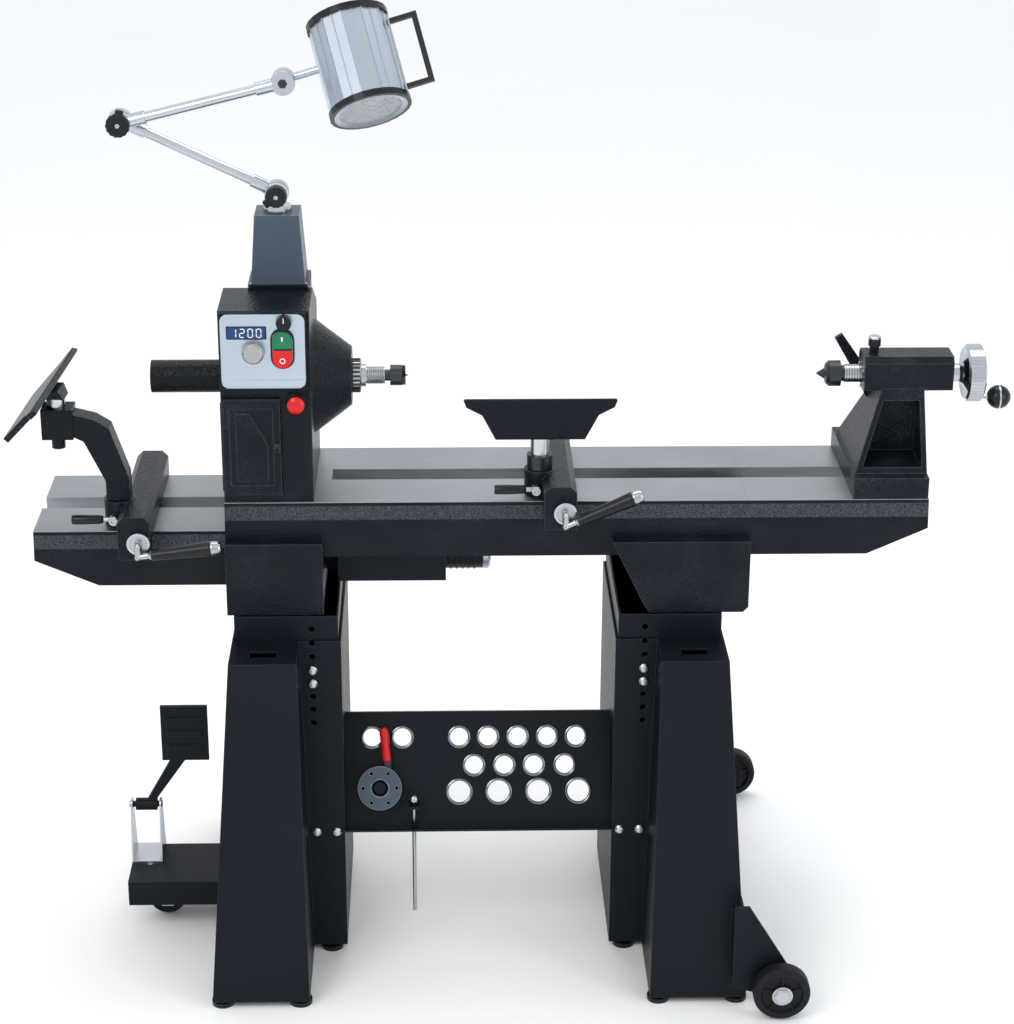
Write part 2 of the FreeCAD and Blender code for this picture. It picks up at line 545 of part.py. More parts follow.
def build_tool_rests():
    low_top = "bed_top - left_drop"
    under = "(bed_lip + face_gap)"
    arm = "rest_x + arm_shift"
    plate = box((f"{arm} - 24", f"{arm} + 24"), (-42, 42), (f"bed_top - {under} - 12", f"bed_top - {under}"))
    node("banjo_clamp_plate", cut(plate, rod((arm, 0, "bed_top - 40"), "6 + running", 30)))
    shank = rod((arm, 0, "bed_top - 45"), 6, 67)
    nut = rod((arm, 0, f"bed_top - {under} - 12 - face_gap - 8"), 10, 8)
    node("banjo_clamp_bolt", join(shank, nut))
    banjo("banjo", "rest_x", "bed_top")
    clamp_lever("banjo_lever", "rest_x", "bed_top", 24)
    lock_handle("banjo_lock_handle", "rest_x", "bed_top")
    collar = cut(rod(("rest_x", "rest_y", "bed_top + socket_tall + 2 * face_gap"), 19, 22),
                 rod(("rest_x", "rest_y", "bed_top + 20"), "rest_post_rad + running", 60))
    node("rest_collar", collar)
    t_rest("tool_rest", ("rest_x", "rest_y", "bed_top + 150"), 113, 60, 60, 83)

    arm = "outer_rest_x + arm_shift"
    plate = box((f"{arm} - 24", f"{arm} + 24"), (-42, 42), (f"{low_top} - {under} - 12", f"{low_top} - {under}"))
    node("outboard_clamp", join(plate, rod((arm, 0, f"{low_top} - 45"), 6, 67), rod((arm, 0, f"{low_top} - 45"), 10, 9)))
    banjo("outboard_banjo", "outer_rest_x", low_top)
    clamp_lever("outboard_lever", "outer_rest_x", low_top, 7)
    lock_handle("outboard_lock_handle", "outer_rest_x", low_top)

    knee = f"{low_top} + socket_tall + 2 * face_gap"
    elbow = "outer_rest_x - elbow_shift"
    stem = rod(("outer_rest_x", "rest_y", f"{low_top} + 3"), "rest_post_rad", "socket_tall")
    cheek = pad("XZ_Plane", [(-17, 0), (17, 0), (17, 38), (-8, 114), (-30, 128), (-62, 136), (-62, 102), (-46, 94),
                             (-17, 32)], 34, ("outer_rest_x", "rest_y", knee))
    head = box((f"{elbow} - 21", f"{elbow} + 25"), ("rest_y - 20", "rest_y + 20"), (f"{knee} + 98", f"{knee} + 144"))
    stub = rod((elbow, "rest_y", f"{knee} + 80"), 10, 20)
    bore = rod((elbow, "rest_y", f"{knee} + 104"), "rest_post_rad + running", 50)
    node("goose_neck", cut(join(stem, cheek, head, stub), bore))
    t_rest("outboard_tool_rest", (elbow, "rest_y", f"{knee} + 184"), 145, 80, 25, 52, 42, 86)


# ---------------------------------------------------------------- tailstock

def build_tailstock():
    sole = "bed_top + face_gap"
    barrel_z = SPINDLE_Z
    base = box(("tail_left", "tail_right"), (-113, 113), (sole, "bed_top + 32"))
    column = taper(("bed_top + 32", "bed_top + 144"), ("tail_left + 4", "tail_right", -92, 92),
                   ("tail_left + 48", "tail_right", -30, 30))
    recesses = [taper(("bed_top + 40", "bed_top + 128"), ("tail_left + 16", "tail_right - 8", *low),
                      ("tail_left + 50", "tail_right - 8", *high))
                for low, high in (((-100, -12), (-60, -12)), ((12, 100), (12, 60)))]
    barrel = pad("YZ_Plane", [(-30, -18), (30, -18), (30, 24), (22, 33), (-22, 33), (-30, 24)],
                 "barrel_right - barrel_left", ("(barrel_left + barrel_right) / 2", 0, barrel_z))
    boss = rod((545, 28, 868), 14, 23, "y")
    rail_guide = box(("tail_left + 10", "tail_right - 10"), ("-bed_gap / 2 + face_gap", "bed_gap / 2 - face_gap"),
                     ("bed_top - 12", "bed_top + 2"))
    bore = rod(("barrel_left - 1", 0, barrel_z), "quill_rad + running", "barrel_right - barrel_left - 7", "x")
    screw_way = rod(("barrel_right - 12", 0, barrel_z), "6 + running", 20, "x")
    lever_way = rod((545, 20, 868), "8 + running", 40, "y")
    bolt_way = rod((556, 0, "bed_top - 14"), 6.5, 36)
    knob_way = rod((540, 10, f"{barrel_z} + 12"), "4 + running", 30)
    node("tailstock_body", cut(join(cut(column, *recesses), base, barrel, boss, rail_guide),
                               bore, screw_way, lever_way, bolt_way, knob_way))

    under = "bed_top - bed_lip - 2.5"
    plate = box((526, 586), (-42, 42), (f"{under} - 12", under))
    node("tailstock_clamp", join(plate, rod((556, 0, f"{under} - 18"), 6, 56), rod((556, 0, f"{under} - 20"), 11, 8)))

    tube = turned([(8 , 0), ("quill_rad", 0), ("quill_rad", 150), (8, 150)], ("barrel_left - 27", 0, barrel_z), "x")
    plug = rod(("barrel_left + 38", 0, barrel_z), 8.5, 6, "x")
    node("quill", join(tube, plug))

    head = turned([(0, 0), (1.2, 1), (8, 12), (15, 14), (19.5, 19), (19.5, 36), (12, 38), (12, 41.5), (8 - 0.06, 41.5),
                   (8 - 0.06, 74), (0, 74)], ("barrel_left - 27.3 - 41.5", 0, barrel_z), "x")
    node("live_centre", head)

    start = "barrel_right + face_gap"
    rim = turned([(6, 0), (14, 0), (14, 12), (18, 18), (30, 25), (34, 24), (39, 21), ("wheel_rad", 24), ("wheel_rad", 45),
                  (38, 48), (34, 46), (30, 33), (20, 30), (16, 34), (6, 34)], (start, 0, barrel_z), "x")
    screw = rod(("barrel_right - 66", 0, barrel_z), 6, 100, "x")
    pin = rod((f"{start} + 40", -14, f"{barrel_z} - 34"), 3.5, 42, "x")
    node("quill_handwheel", join(rim, screw, pin))
    grip = cut(ball((f"{start} + 73", -14, f"{barrel_z} - 34"), 18),
               rod((f"{start} + 40", -14, f"{barrel_z} - 34"), "3.5 + running", 42.3, "x"))
    node("handwheel_knob", grip)

    lever = pad("XZ_Plane", [(-9, -8), (6, -10), (10, 2), (-47, 82), (-58, 75)], 8, (545, 56, 868))
    node("tailstock_lock_lever", join(lever, rod((545, 22, 868), 8, 34, "y")))
    knob = turned([(0, 0), (7, 0), (7, 7), (9.5, 7), (9.5, 17), (8, 19), (0, 19)], (540, 10, f"{barrel_z} + 33 + face_gap"), "z")
    node("quill_lock_knob", join(knob, rod((540, 10, f"{barrel_z} + 16"), 4, 20)))


# ---------------------------------------------------------------- lamp

def arm_link(start, end, layer, length, slope):
    """A lamp arm: a tube with collars between two hubs that turn about Y."""
    centre = f"lamp_y + ({layer})"
    pieces = [rod((x, f"{centre} - hub_thick / 2", z), "hub_rad", "hub_thick", "y") for x, z in (start, end)]
    for first, radius, run in ((0, "tube_rad", length), (14, 10, 26), (length - 40, 10, 26)):
        tube = doc.addObject("Part::Cylinder", "Tube")
        bind(tube, "Radius", radius)
        bind(tube, "Height", run)
        turn = Rotation(Vector(0, 1, 0), 90 - slope)
        tube.Placement = Placement(Vector(), turn)
        ahead = turn.multVec(Vector(0, 0, first))
        for axis, text in zip("xyz", (f"{start[0]} + {ahead.x:.4f}", centre, f"{start[1]} + {ahead.z:.4f}")):
            bind(tube, f"Placement.Base.{axis}", text)
        pieces.append(tube)
    return pieces


def span(start, end):
    """Length and slope in degrees of the run between two points in the XZ plane."""
    dx = DIMS[end[0]] - DIMS[start[0]]
    dz = DIMS[end[1]] - DIMS[start[1]]
    run = Vector(dx, 0, dz)
    slope = run.getAngle(Vector(1, 0, 0)) * 57.29577951
    return run.Length, slope if dz > 0 else -slope


def pivot(x, z):
    """A pin through both hubs of a lamp joint."""
    return rod((x, "lamp_y - lamp_layer - hub_thick / 2", z), 4, "lamp_layer + hub_thick", "y")


def pivot_way(x, z):
    return rod((x, "lamp_y - 40", z), "4 + running", 80, "y")


def build_lamp():
    base_z = "head_top + 3"
    post = taper((f"{base_z} + 4", 1150), (-391, -311, -2, 72), (-384, -318, 5, 65))
    flange = box((-396, -306), (-3, 74), (base_z, f"{base_z} + 4"))
    swivel_way = rod(("lamp_x", "lamp_y", 1130), "8 + running", 30)
    node("lamp_post", cut(join(post, flange), swivel_way))

    ring = rod(("lamp_x", "lamp_y", "1150 + face_gap"), 21, 8)
    lug = join(rod(("lamp_x", "lamp_y - lamp_layer - hub_thick / 2", "shoulder_z"), "hub_rad", "hub_thick", "y"),
               box(("lamp_x - 12", "lamp_x + 12"), ("lamp_y - lamp_layer - hub_thick / 2", "lamp_y - lamp_layer + hub_thick / 2"),
                   (1155, "shoulder_z")))
    node("lamp_swivel", join(ring, rod(("lamp_x", "lamp_y", 1131), 8, 24), lug, pivot("lamp_x", "shoulder_z")))

    shoulder, elbow, wrist = ("lamp_x", "shoulder_z"), ("elbow_x", "elbow_z"), ("wrist_x", "wrist_z")
    length, slope = span(elbow, shoulder)
    node("lamp_lower_arm", cut(join(*arm_link(elbow, shoulder, 0, length, slope)),
                               pivot_way(*shoulder), pivot_way(*elbow)))
    length, slope = span(elbow, wrist)
    node("lamp_upper_arm", join(cut(join(*arm_link(elbow, wrist, "-lamp_layer", length, slope)), pivot_way(*wrist)),
                                pivot(*elbow)))

    roll = Rotation(Vector(1, 0, 0), -DIMS["lamp_roll"])

    def drum_part(kind, sizes, x, along):
        """A piece on the drum's own axis, at a distance along it, rolled about the neck."""
        piece = doc.addObject("Part::" + kind, kind)
        for prop, text in sizes.items():
            bind(piece, prop, text)
        piece.Placement = Placement(roll.multVec(Vector(0, 0, along - DIMS["lamp_sink"])), roll)
        bind(piece, "Placement.Base.x", x)
        return piece

    def mount(label, piece):
        place(piece, ("wrist_x", "lamp_y", "wrist_z"), Rotation(Vector(0, 1, 0), -DIMS["lamp_lift"]))
        node(label, piece)

    half = DIMS["lamp_length"] / 2
    neck = rod((14, 0, 0), 6, "lamp_reach - 50", "x")
    hub = rod((0, "-hub_thick / 2", 0), "hub_rad", "hub_thick", "y")
    drum = drum_part("Prism", {"Polygon": 12, "Circumradius": "lamp_rad", "Height": "lamp_length"}, "lamp_reach", -half)
    rims = [drum_part("Cylinder", {"Radius": "lamp_rad + 2", "Height": 9}, "lamp_reach", low) for low in (-half, half - 9)]
    shade = drum_part("Cylinder", {"Radius": "lamp_rad - 5", "Height": "lamp_length - 6"}, "lamp_reach", -half - 0.01)
    pin = rod((0, "-lamp_layer - hub_thick / 2", 0), 4, "lamp_layer + hub_thick", "y")
    mount("lamp_head", join(cut(join(neck, drum, *rims), shade), hub, pin))
    pane = drum_part("Cylinder", {"Radius": "lamp_rad - 5 - running", "Height": 5}, "lamp_reach", -half + 2)
    bulge = drum_part("Cylinder", {"Radius": "lamp_rad - 14", "Height": 4}, "lamp_reach", -half + 6)
    mount("lamp_lens", join(pane, bulge))

    reach = "lamp_reach + lamp_rad + 2"
    grip = DIMS["handle_length"] / 2
    bar = [drum_part("Box", {"Length": 8, "Width": 7, "Height": "handle_length"}, f"{reach} + 32", -grip)]
    for low in (-grip, grip - 7):
        bar.append(drum_part("Box", {"Length": 43, "Width": 7, "Height": 7}, f"{reach} - 5.5", low))
    mount("lamp_handle", join(*bar))


# ---------------------------------------------------------------- wheels and pedal

def build_wheels():
    lift = "transport_rad + wheel_lift"
    wheels = []
    for facing in (-1, 1):
        bore = "6 + running"
        tyre = turned([(bore, -13), (14, -13), (14, -9), (30, -9), (32, -13), (40, -13), ("transport_rad", -9),
                       ("transport_rad", 9), (40, 13), (32, 13), (30, 9), (14, 9), (14, 13), (bore, 13)],
                      ("transport_x", f"{facing} * transport_y", lift), "y")
        wheels.append(tyre)
    node("transport_wheels", group(*wheels))

    centre_z = "caster_rad + wheel_lift"
    axle_x = "caster_x + caster_trail"
    crown = box(("caster_x - 22", "caster_x + 34"), ("caster_y - 17", "caster_y + 17"), (66, 70))
    outline = [(-20, 70), (32, 70), (36, 20), (18, 20), (-20, 60)]
    cheeks = [pad("XZ_Plane", outline, 3, ("caster_x", f"caster_y + ({y})", 0)) for y in (-15.5, 15.5)]
    race = rod(("caster_x", "caster_y", 70), 22, "86 - 70 - face_gap")
    stem = rod(("caster_x", "caster_y", 80), 6, 9.5)
    axle = rod((axle_x, "caster_y + 17", centre_z), 4, 34, "-y")
    node("caster_fork", join(crown, *cheeks, race, stem, axle))
    node("caster_wheel", turned([("4 + running", -11), (9, -11), (9, -9), (22, -9), ("caster_rad - 3", -11),
                                 ("caster_rad", -7), ("caster_rad", 7), ("caster_rad - 3", 11), (22, 9), (9, 9), (9, 11),
                                 ("4 + running", 11)], (axle_x, "caster_y", centre_z), "y"))

    plates = []
    for left in (-612, -566):
        plates.append(taper((90, 182), (left, left + 3, -30, 30), (left, left + 3, -11, 11)))
        plates.append(rod((left, 0, 182), 11, 3, "x"))
    sole = box((-612, -563), (-30, 30), (90, 94))
    pin_ways = rod((-615, 0, 182), "5 + running", 60, "x")
    node("pedal_bracket", cut(join(*plates, sole), pin_ways))
    pad_plate = box((-558, -484), (-4, 2), (262, 357))
    slots = [box((-548, -494), (-7, -4), (z, z + 8)) for z in (281, 305, 329)]
    stem = pad("XZ_Plane", [(-594, 176), (-582, 176), (-522, 262), (-522, 272), (-540, 272)], 8)
    boss = rod((-604, 0, 182), 10, 34, "x")
    axle = rod((-614, 0, 182), 5, 52, "x")
    node("pedal", join(pad_plate, *slots, stem, boss, axle))


for build in (build_bed, build_bed_feet, build_headstock, build_spindle, build_drive, build_controls, build_stand,
              build_shelf, build_tool_rests, build_tailstock, build_lamp, build_wheels):
    build()
doc.recompute()

troubled = [obj.Label for obj in doc.Objects if "Invalid" in obj.State or "Error" in obj.State]
troubled += [label for label, obj in NODES.items() if obj.Shape.isNull() or not obj.Shape.isValid()]
if troubled:
    raise RuntimeError("failed: " + ", ".join(sorted(set(troubled))))

os.makedirs("parts", exist_ok=True)
for label, obj in NODES.items():
    obj.Shape.exportStep(f"parts/{label}.step")
whole = Part.makeCompound([obj.Shape for obj in NODES.values()]).BoundBox
print(len(NODES), "nodes;", [round(limit, 1) for limit in (whole.XMin, whole.XMax, whole.YMin, whole.YMax, whole.ZMin, whole.ZMax)])
for label, obj in NODES.items():
    print(f"{label:24s} solids {len(obj.Shape.Solids)}  cm3 {obj.Shape.Volume / 1000:.0f}")
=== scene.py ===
import json
import math

import bmesh
import bpy
from mathutils import Matrix, Vector

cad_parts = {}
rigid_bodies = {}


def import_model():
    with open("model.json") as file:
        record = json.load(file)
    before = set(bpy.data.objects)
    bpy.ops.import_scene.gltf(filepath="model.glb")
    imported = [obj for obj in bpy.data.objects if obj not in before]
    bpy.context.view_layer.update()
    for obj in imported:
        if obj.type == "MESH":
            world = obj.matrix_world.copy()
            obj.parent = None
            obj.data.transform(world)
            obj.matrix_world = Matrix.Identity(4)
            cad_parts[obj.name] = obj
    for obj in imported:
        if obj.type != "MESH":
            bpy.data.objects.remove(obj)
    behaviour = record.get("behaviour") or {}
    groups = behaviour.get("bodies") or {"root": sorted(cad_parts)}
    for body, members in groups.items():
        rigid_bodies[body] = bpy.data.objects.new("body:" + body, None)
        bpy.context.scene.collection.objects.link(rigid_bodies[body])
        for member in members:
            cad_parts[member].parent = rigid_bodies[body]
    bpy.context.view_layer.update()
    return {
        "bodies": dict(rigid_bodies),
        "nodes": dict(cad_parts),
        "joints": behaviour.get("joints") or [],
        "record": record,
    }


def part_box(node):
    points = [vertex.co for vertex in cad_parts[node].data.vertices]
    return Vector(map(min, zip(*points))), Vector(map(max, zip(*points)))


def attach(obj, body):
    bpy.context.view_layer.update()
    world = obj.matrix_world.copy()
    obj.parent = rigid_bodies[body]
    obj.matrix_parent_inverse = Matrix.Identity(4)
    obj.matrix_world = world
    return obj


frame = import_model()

MM = 0.001
NODES = frame["nodes"]


# ---------------------------------------------------------------- materials

class Shader:
    """A material with one Principled shader, built up from procedural patterns in object space."""

    def __init__(self, name, colour, roughness, metallic=0.0):
        self.material = bpy.data.materials.new(name)
        self.material.use_nodes = True
        self.tree = self.material.node_tree
        self.shader = self.tree.nodes["Principled BSDF"]
        self.coords = self.new("ShaderNodeTexCoord").outputs["Object"]
        self.shader.inputs["Metallic"].default_value = metallic
        self.colour = self.rgb(colour)
        self.roughness = roughness
        self.height = None
        self.normal = None

    def new(self, kind, **settings):
        made = self.tree.nodes.new(kind)
        for key, value in settings.items():
            setattr(made, key, value)
        return made

    def link(self, source, socket):
        """Feeds a socket from another socket, or sets it to a value."""
        if isinstance(source, bpy.types.NodeSocket):
            self.tree.links.new(source, socket)
        else:
            socket.default_value = source

    def rgb(self, colour):
        return (*colour, 1.0)

    def math(self, operation, a, b=0.0, clamp=False):
        made = self.new("ShaderNodeMath", operation=operation, use_clamp=clamp)
        self.link(a, made.inputs[0])
        self.link(b, made.inputs[1])
        return made.outputs[0]

    def mix(self, factor, a, b):
        made = self.new("ShaderNodeMix", data_type="RGBA")
        self.link(factor, made.inputs["Factor"])
        self.link(a, made.inputs["A"])
        self.link(b, made.inputs["B"])
        return made.outputs["Result"]

    def blend(self, factor, a, b):
        made = self.new("ShaderNodeMix", data_type="FLOAT")
        self.link(factor, made.inputs["Factor"])
        self.link(a, made.inputs["A"])
        self.link(b, made.inputs["B"])
        return made.outputs["Result"]

    def stretched(self, scale):
        made = self.new("ShaderNodeMapping")
        self.link(self.coords, made.inputs["Vector"])
        made.inputs["Scale"].default_value = scale
        return made.outputs["Vector"]

    def noise(self, scale, detail=2.0, stretch=(1, 1, 1), roughness=0.5):
        made = self.new("ShaderNodeTexNoise")
        self.link(self.stretched(stretch), made.inputs["Vector"])
        made.inputs["Scale"].default_value = scale
        made.inputs["Detail"].default_value = detail
        made.inputs["Roughness"].default_value = roughness
        return made.outputs["Fac"]

    def cells(self, scale, smooth=0.6):
        made = self.new("ShaderNodeTexVoronoi", feature="SMOOTH_F1")
        self.link(self.coords, made.inputs["Vector"])
        made.inputs["Scale"].default_value = scale
        made.inputs["Smoothness"].default_value = smooth
        return made.outputs["Distance"]

    def step(self, value, low, high):
        """0 below low, 1 above high, smooth between."""
        made = self.new("ShaderNodeMapRange", interpolation_type="SMOOTHSTEP")
        self.link(value, made.inputs["Value"])
        made.inputs["From Min"].default_value = low
        made.inputs["From Max"].default_value = high
        return made.outputs["Result"]

    def axis(self, source, index):
        made = self.new("ShaderNodeSeparateXYZ")
        self.link(source, made.inputs[0])
        return made.outputs[index]

    def facing(self, index):
        return self.axis(self.new("ShaderNodeNewGeometry").outputs["True Normal"], index)

    def vary(self, amount, scale=7.0, roughness=0.0):
        """Slow changes of tone and of gloss."""
        cloud = self.noise(scale, detail=4.0)
        darker, lighter = (self.rgb(tuple(min(1, c * (1 + amount * sign)) for c in self.colour[:3]))
                           for sign in (-1, 1))
        self.colour = self.mix(cloud, darker, lighter)
        if roughness:
            swing = self.math("MULTIPLY", cloud, 2 * roughness)
            self.roughness = self.math("ADD", swing, self.roughness - roughness)
        return self

    def raise_by(self, pattern, metres):
        """Adds a pattern's height to the surface."""
        bump = self.new("ShaderNodeBump")
        self.link(pattern, bump.inputs["Height"])
        bump.inputs["Strength"].default_value = 1.0
        bump.inputs["Distance"].default_value = metres
        if self.normal is not None:
            self.link(self.normal, bump.inputs["Normal"])
        self.normal = bump.outputs["Normal"]
        return self

    def soften(self, radius):
        """Rounds the look of sharp edges."""
        made = self.new("ShaderNodeBevel", samples=4)
        made.inputs["Radius"].default_value = radius
        self.normal = made.outputs["Normal"]
        return self

    def edge_wear_and_highlight(self, colour, radius, roughness=None, low=0.004, high=0.05):
        """Lighter colour along the edges: partly paint rubbed thin or catching dust, partly a painted highlight
        where the edges catch the light.
        """
        made = self.new("ShaderNodeBevel", samples=4)
        made.inputs["Radius"].default_value = radius
        dot = self.new("ShaderNodeVectorMath", operation="DOT_PRODUCT")
        self.link(made.outputs["Normal"], dot.inputs[0])
        self.link(self.new("ShaderNodeNewGeometry").outputs["True Normal"], dot.inputs[1])
        bent = self.math("SUBTRACT", 1.0, dot.outputs["Value"])
        broken = self.math("MULTIPLY", self.step(bent, low, high), self.noise(160, detail=3.0))
        mask = self.math("MULTIPLY", broken, 1.6, clamp=True)
        self.colour = self.mix(mask, self.colour, self.rgb(colour))
        if roughness is not None:
            self.roughness = self.blend(mask, self.roughness, roughness)
        return self

    def dull(self, level=0.14):
        """Weakens the coat's mirror-like part."""
        self.shader.inputs["Specular IOR Level"].default_value = level
        return self

    def done(self):
        self.link(self.colour, self.shader.inputs["Base Color"])
        self.link(self.roughness, self.shader.inputs["Roughness"])
        if self.normal is not None:
            self.link(self.normal, self.shader.inputs["Normal"])
        return self.material


INK = (0.0042, 0.0068, 0.0112)
POST_RADIUS = 0.0145


def painted_glints(s, amount=1.0):
    """Painted glints: pale specks painted into the colour where hammered enamel catches the light, thicker in some
    places than in others.
    """
    glint_specks = s.step(s.noise(900.0, detail=2.0), 0.56, 0.66)
    drift = s.step(s.noise(14.0, detail=3.0), 0.40, 0.75)
    mask = s.math("MULTIPLY", s.math("MULTIPLY", glint_specks, drift), amount)
    s.colour = s.mix(mask, s.colour, s.rgb((0.075, 0.09, 0.11)))


def hammertone():
    """Black hammered enamel over a rough casting."""
    s = Shader("hammertone_black", INK, 0.3)
    s.vary(0.35, 9.0, roughness=0.06)
    # painted glints: pale specks painted into the colour where the hammered enamel catches the light
    painted_glints(s)
    s.dull()
    s.soften(0.0016)
    s.raise_by(s.cells(310.0), 0.0009)
    s.raise_by(s.noise(60.0, detail=3.0), 0.0006)
    # paler edges: partly paint rubbed thin, partly a painted highlight where the edges catch the light
    s.edge_wear_and_highlight((0.06, 0.068, 0.08), 0.002)
    return s.done()


def bed_iron(top, gap):
    """Hammered enamel with painted glints, with the way tops and the gap's walls ground bright, and with a painted
    highlight band under the front edge where a bevel that faces up would catch the light.
    Lengths are in metres."""
    s = Shader(f"bed_enamel_and_ground_iron_{round(top / MM)}", INK, 0.3)
    s.vary(0.35, 9.0)
    # painted glints, half as many: pale specks painted into the colour where the enamel catches the light
    painted_glints(s, 0.5)
    height = s.axis(s.coords, 2)
    low_edge = s.step(height, top - 0.0275, top - 0.0255)
    high_edge = s.math("SUBTRACT", 1.0, s.step(height, top - 0.0065, top - 0.005))
    # painted highlight: a paler band with glints on front faces under the top edge, standing in for a bevel that
    # faces up to the light
    highlight_band = s.math("MULTIPLY", s.math("MULTIPLY", low_edge, high_edge), s.math("LESS_THAN", s.facing(1), -0.3))
    glints = s.step(s.noise(700.0, detail=3.0), 0.42, 0.62)
    highlight_tone = s.mix(glints, s.rgb((0.016, 0.021, 0.029)), s.rgb((0.09, 0.105, 0.125)))
    s.colour = s.mix(s.math("MULTIPLY", highlight_band, 0.75), s.colour, highlight_tone)
    above = s.step(height, top - 0.0011, top - 0.0006)
    across = s.math("ABSOLUTE", s.axis(s.coords, 1))
    near = s.math("SUBTRACT", 1.0, s.step(across, gap / 2 + 0.0005, gap / 2 + 0.001))
    deep = s.step(height, top - 0.026, top - 0.024)
    bright = s.math("MAXIMUM", above, s.math("MULTIPLY", near, deep))
    grind = s.noise(30.0, detail=5.0, stretch=(0.6, 14, 6), roughness=0.7)
    cloud = s.noise(5.0, detail=5.0)
    marks = s.math("MULTIPLY", s.math("ADD", grind, cloud), 0.5)
    tone = s.mix(marks, s.rgb((0.15, 0.165, 0.18)), s.rgb((0.46, 0.48, 0.51)))
    s.colour = s.mix(bright, s.colour, tone)
    s.roughness = s.blend(bright, s.math("ADD", s.math("MULTIPLY", cloud, 0.12), 0.26),
                          s.math("ADD", s.math("MULTIPLY", grind, 0.22), 0.34))
    s.link(bright, s.shader.inputs["Metallic"])
    s.dull()
    s.soften(0.0016)
    rough = s.math("MULTIPLY", s.math("SUBTRACT", 1.0, bright), s.cells(310.0))
    s.raise_by(rough, 0.0009)
    s.raise_by(s.math("MULTIPLY", grind, s.math("MULTIPLY", bright, 0.12)), 0.0004)
    return s.done()


def cast_on_post(name, height, post):
    """Hammered enamel above a height, and a bright turned post below it. Post is its middle's (x, y), in metres."""
    s = Shader(name, INK, 0.3)
    s.vary(0.35, 9.0)
    below = s.math("SUBTRACT", 1.0, s.step(s.axis(s.coords, 2), height - 0.0004, height + 0.0001))
    offsets = [s.math("SUBTRACT", s.axis(s.coords, index), middle) for index, middle in enumerate(post)]
    out = s.math("SQRT", s.math("ADD", *(s.math("MULTIPLY", offset, offset) for offset in offsets)))
    bright = s.math("MULTIPLY", below, s.math("LESS_THAN", out, POST_RADIUS))
    turned = s.noise(200.0, detail=3.0, stretch=(0.3, 0.3, 6))
    steel = s.mix(turned, s.rgb((0.42, 0.43, 0.45)), s.rgb((0.66, 0.67, 0.69)))
    s.colour = s.mix(bright, s.colour, steel)
    s.roughness = s.blend(bright, 0.3, s.math("ADD", s.math("MULTIPLY", turned, 0.15), 0.14))
    s.link(bright, s.shader.inputs["Metallic"])
    s.dull()
    s.soften(0.0016)
    s.raise_by(s.math("MULTIPLY", s.math("SUBTRACT", 1.0, bright), s.cells(310.0)), 0.0009)
    return s.done()


def powder_black(name="powder_black", tone=INK, rough=0.42, caps_beyond=None):
    """Satin powder coat on sheet steel, with orange peel, and paler edges that are partly a little dust and partly a
    painted highlight. What lies further than caps_beyond, in metres, in front of the middle or behind it is plated."""
    s = Shader(name, tone, rough)
    s.vary(0.3, 5.0, roughness=0.08)
    if caps_beyond:
        plated = s.step(s.math("ABSOLUTE", s.axis(s.coords, 1)), caps_beyond - 0.0002, caps_beyond + 0.0002)
        s.colour = s.mix(plated, s.colour, s.rgb((0.5, 0.53, 0.57)))
        s.link(plated, s.shader.inputs["Metallic"])
    s.dull()
    s.soften(0.0012)
    s.raise_by(s.noise(420.0, detail=2.0), 0.00025)
    # paler edges: partly dust, partly a painted highlight where the edges catch the light
    s.edge_wear_and_highlight(tuple(min(1, c * 4 + 0.02) for c in tone), 0.0015)
    return s.done()


def metal(name, colour, rough, brush=(1, 1, 1), scale=60.0, depth=0.0001, vary=0.12):
    """Bare or plated metal with a directional finish."""
    s = Shader(name, colour, rough, 1.0)
    s.vary(vary, 12.0, roughness=0.05)
    s.soften(0.0006)
    s.raise_by(s.noise(scale, detail=4.0, stretch=brush, roughness=0.7), depth)
    return s.done()


def plastic(name, colour, rough, grain=700.0, depth=0.00008):
    s = Shader(name, colour, rough)
    s.vary(0.12, 20.0, roughness=0.04)
    s.dull(0.3)
    s.soften(0.0007)
    s.raise_by(s.noise(grain, detail=2.0), depth)
    return s.done()


def rubber(name, colour=(0.012, 0.012, 0.013)):
    s = Shader(name, colour, 0.6)
    s.vary(0.4, 15.0, roughness=0.1)
    s.dull(0.2)
    s.raise_by(s.noise(300.0, detail=4.0), 0.0002)
    return s.done()


def lens_glass():
    s = Shader("lamp_glass", (0.9, 0.95, 1.0), 0.12)
    s.shader.inputs["Transmission Weight"].default_value = 0.75
    s.shader.inputs["IOR"].default_value = 1.45
    s.raise_by(s.cells(240.0, 0.4), 0.0012)
    return s.done()


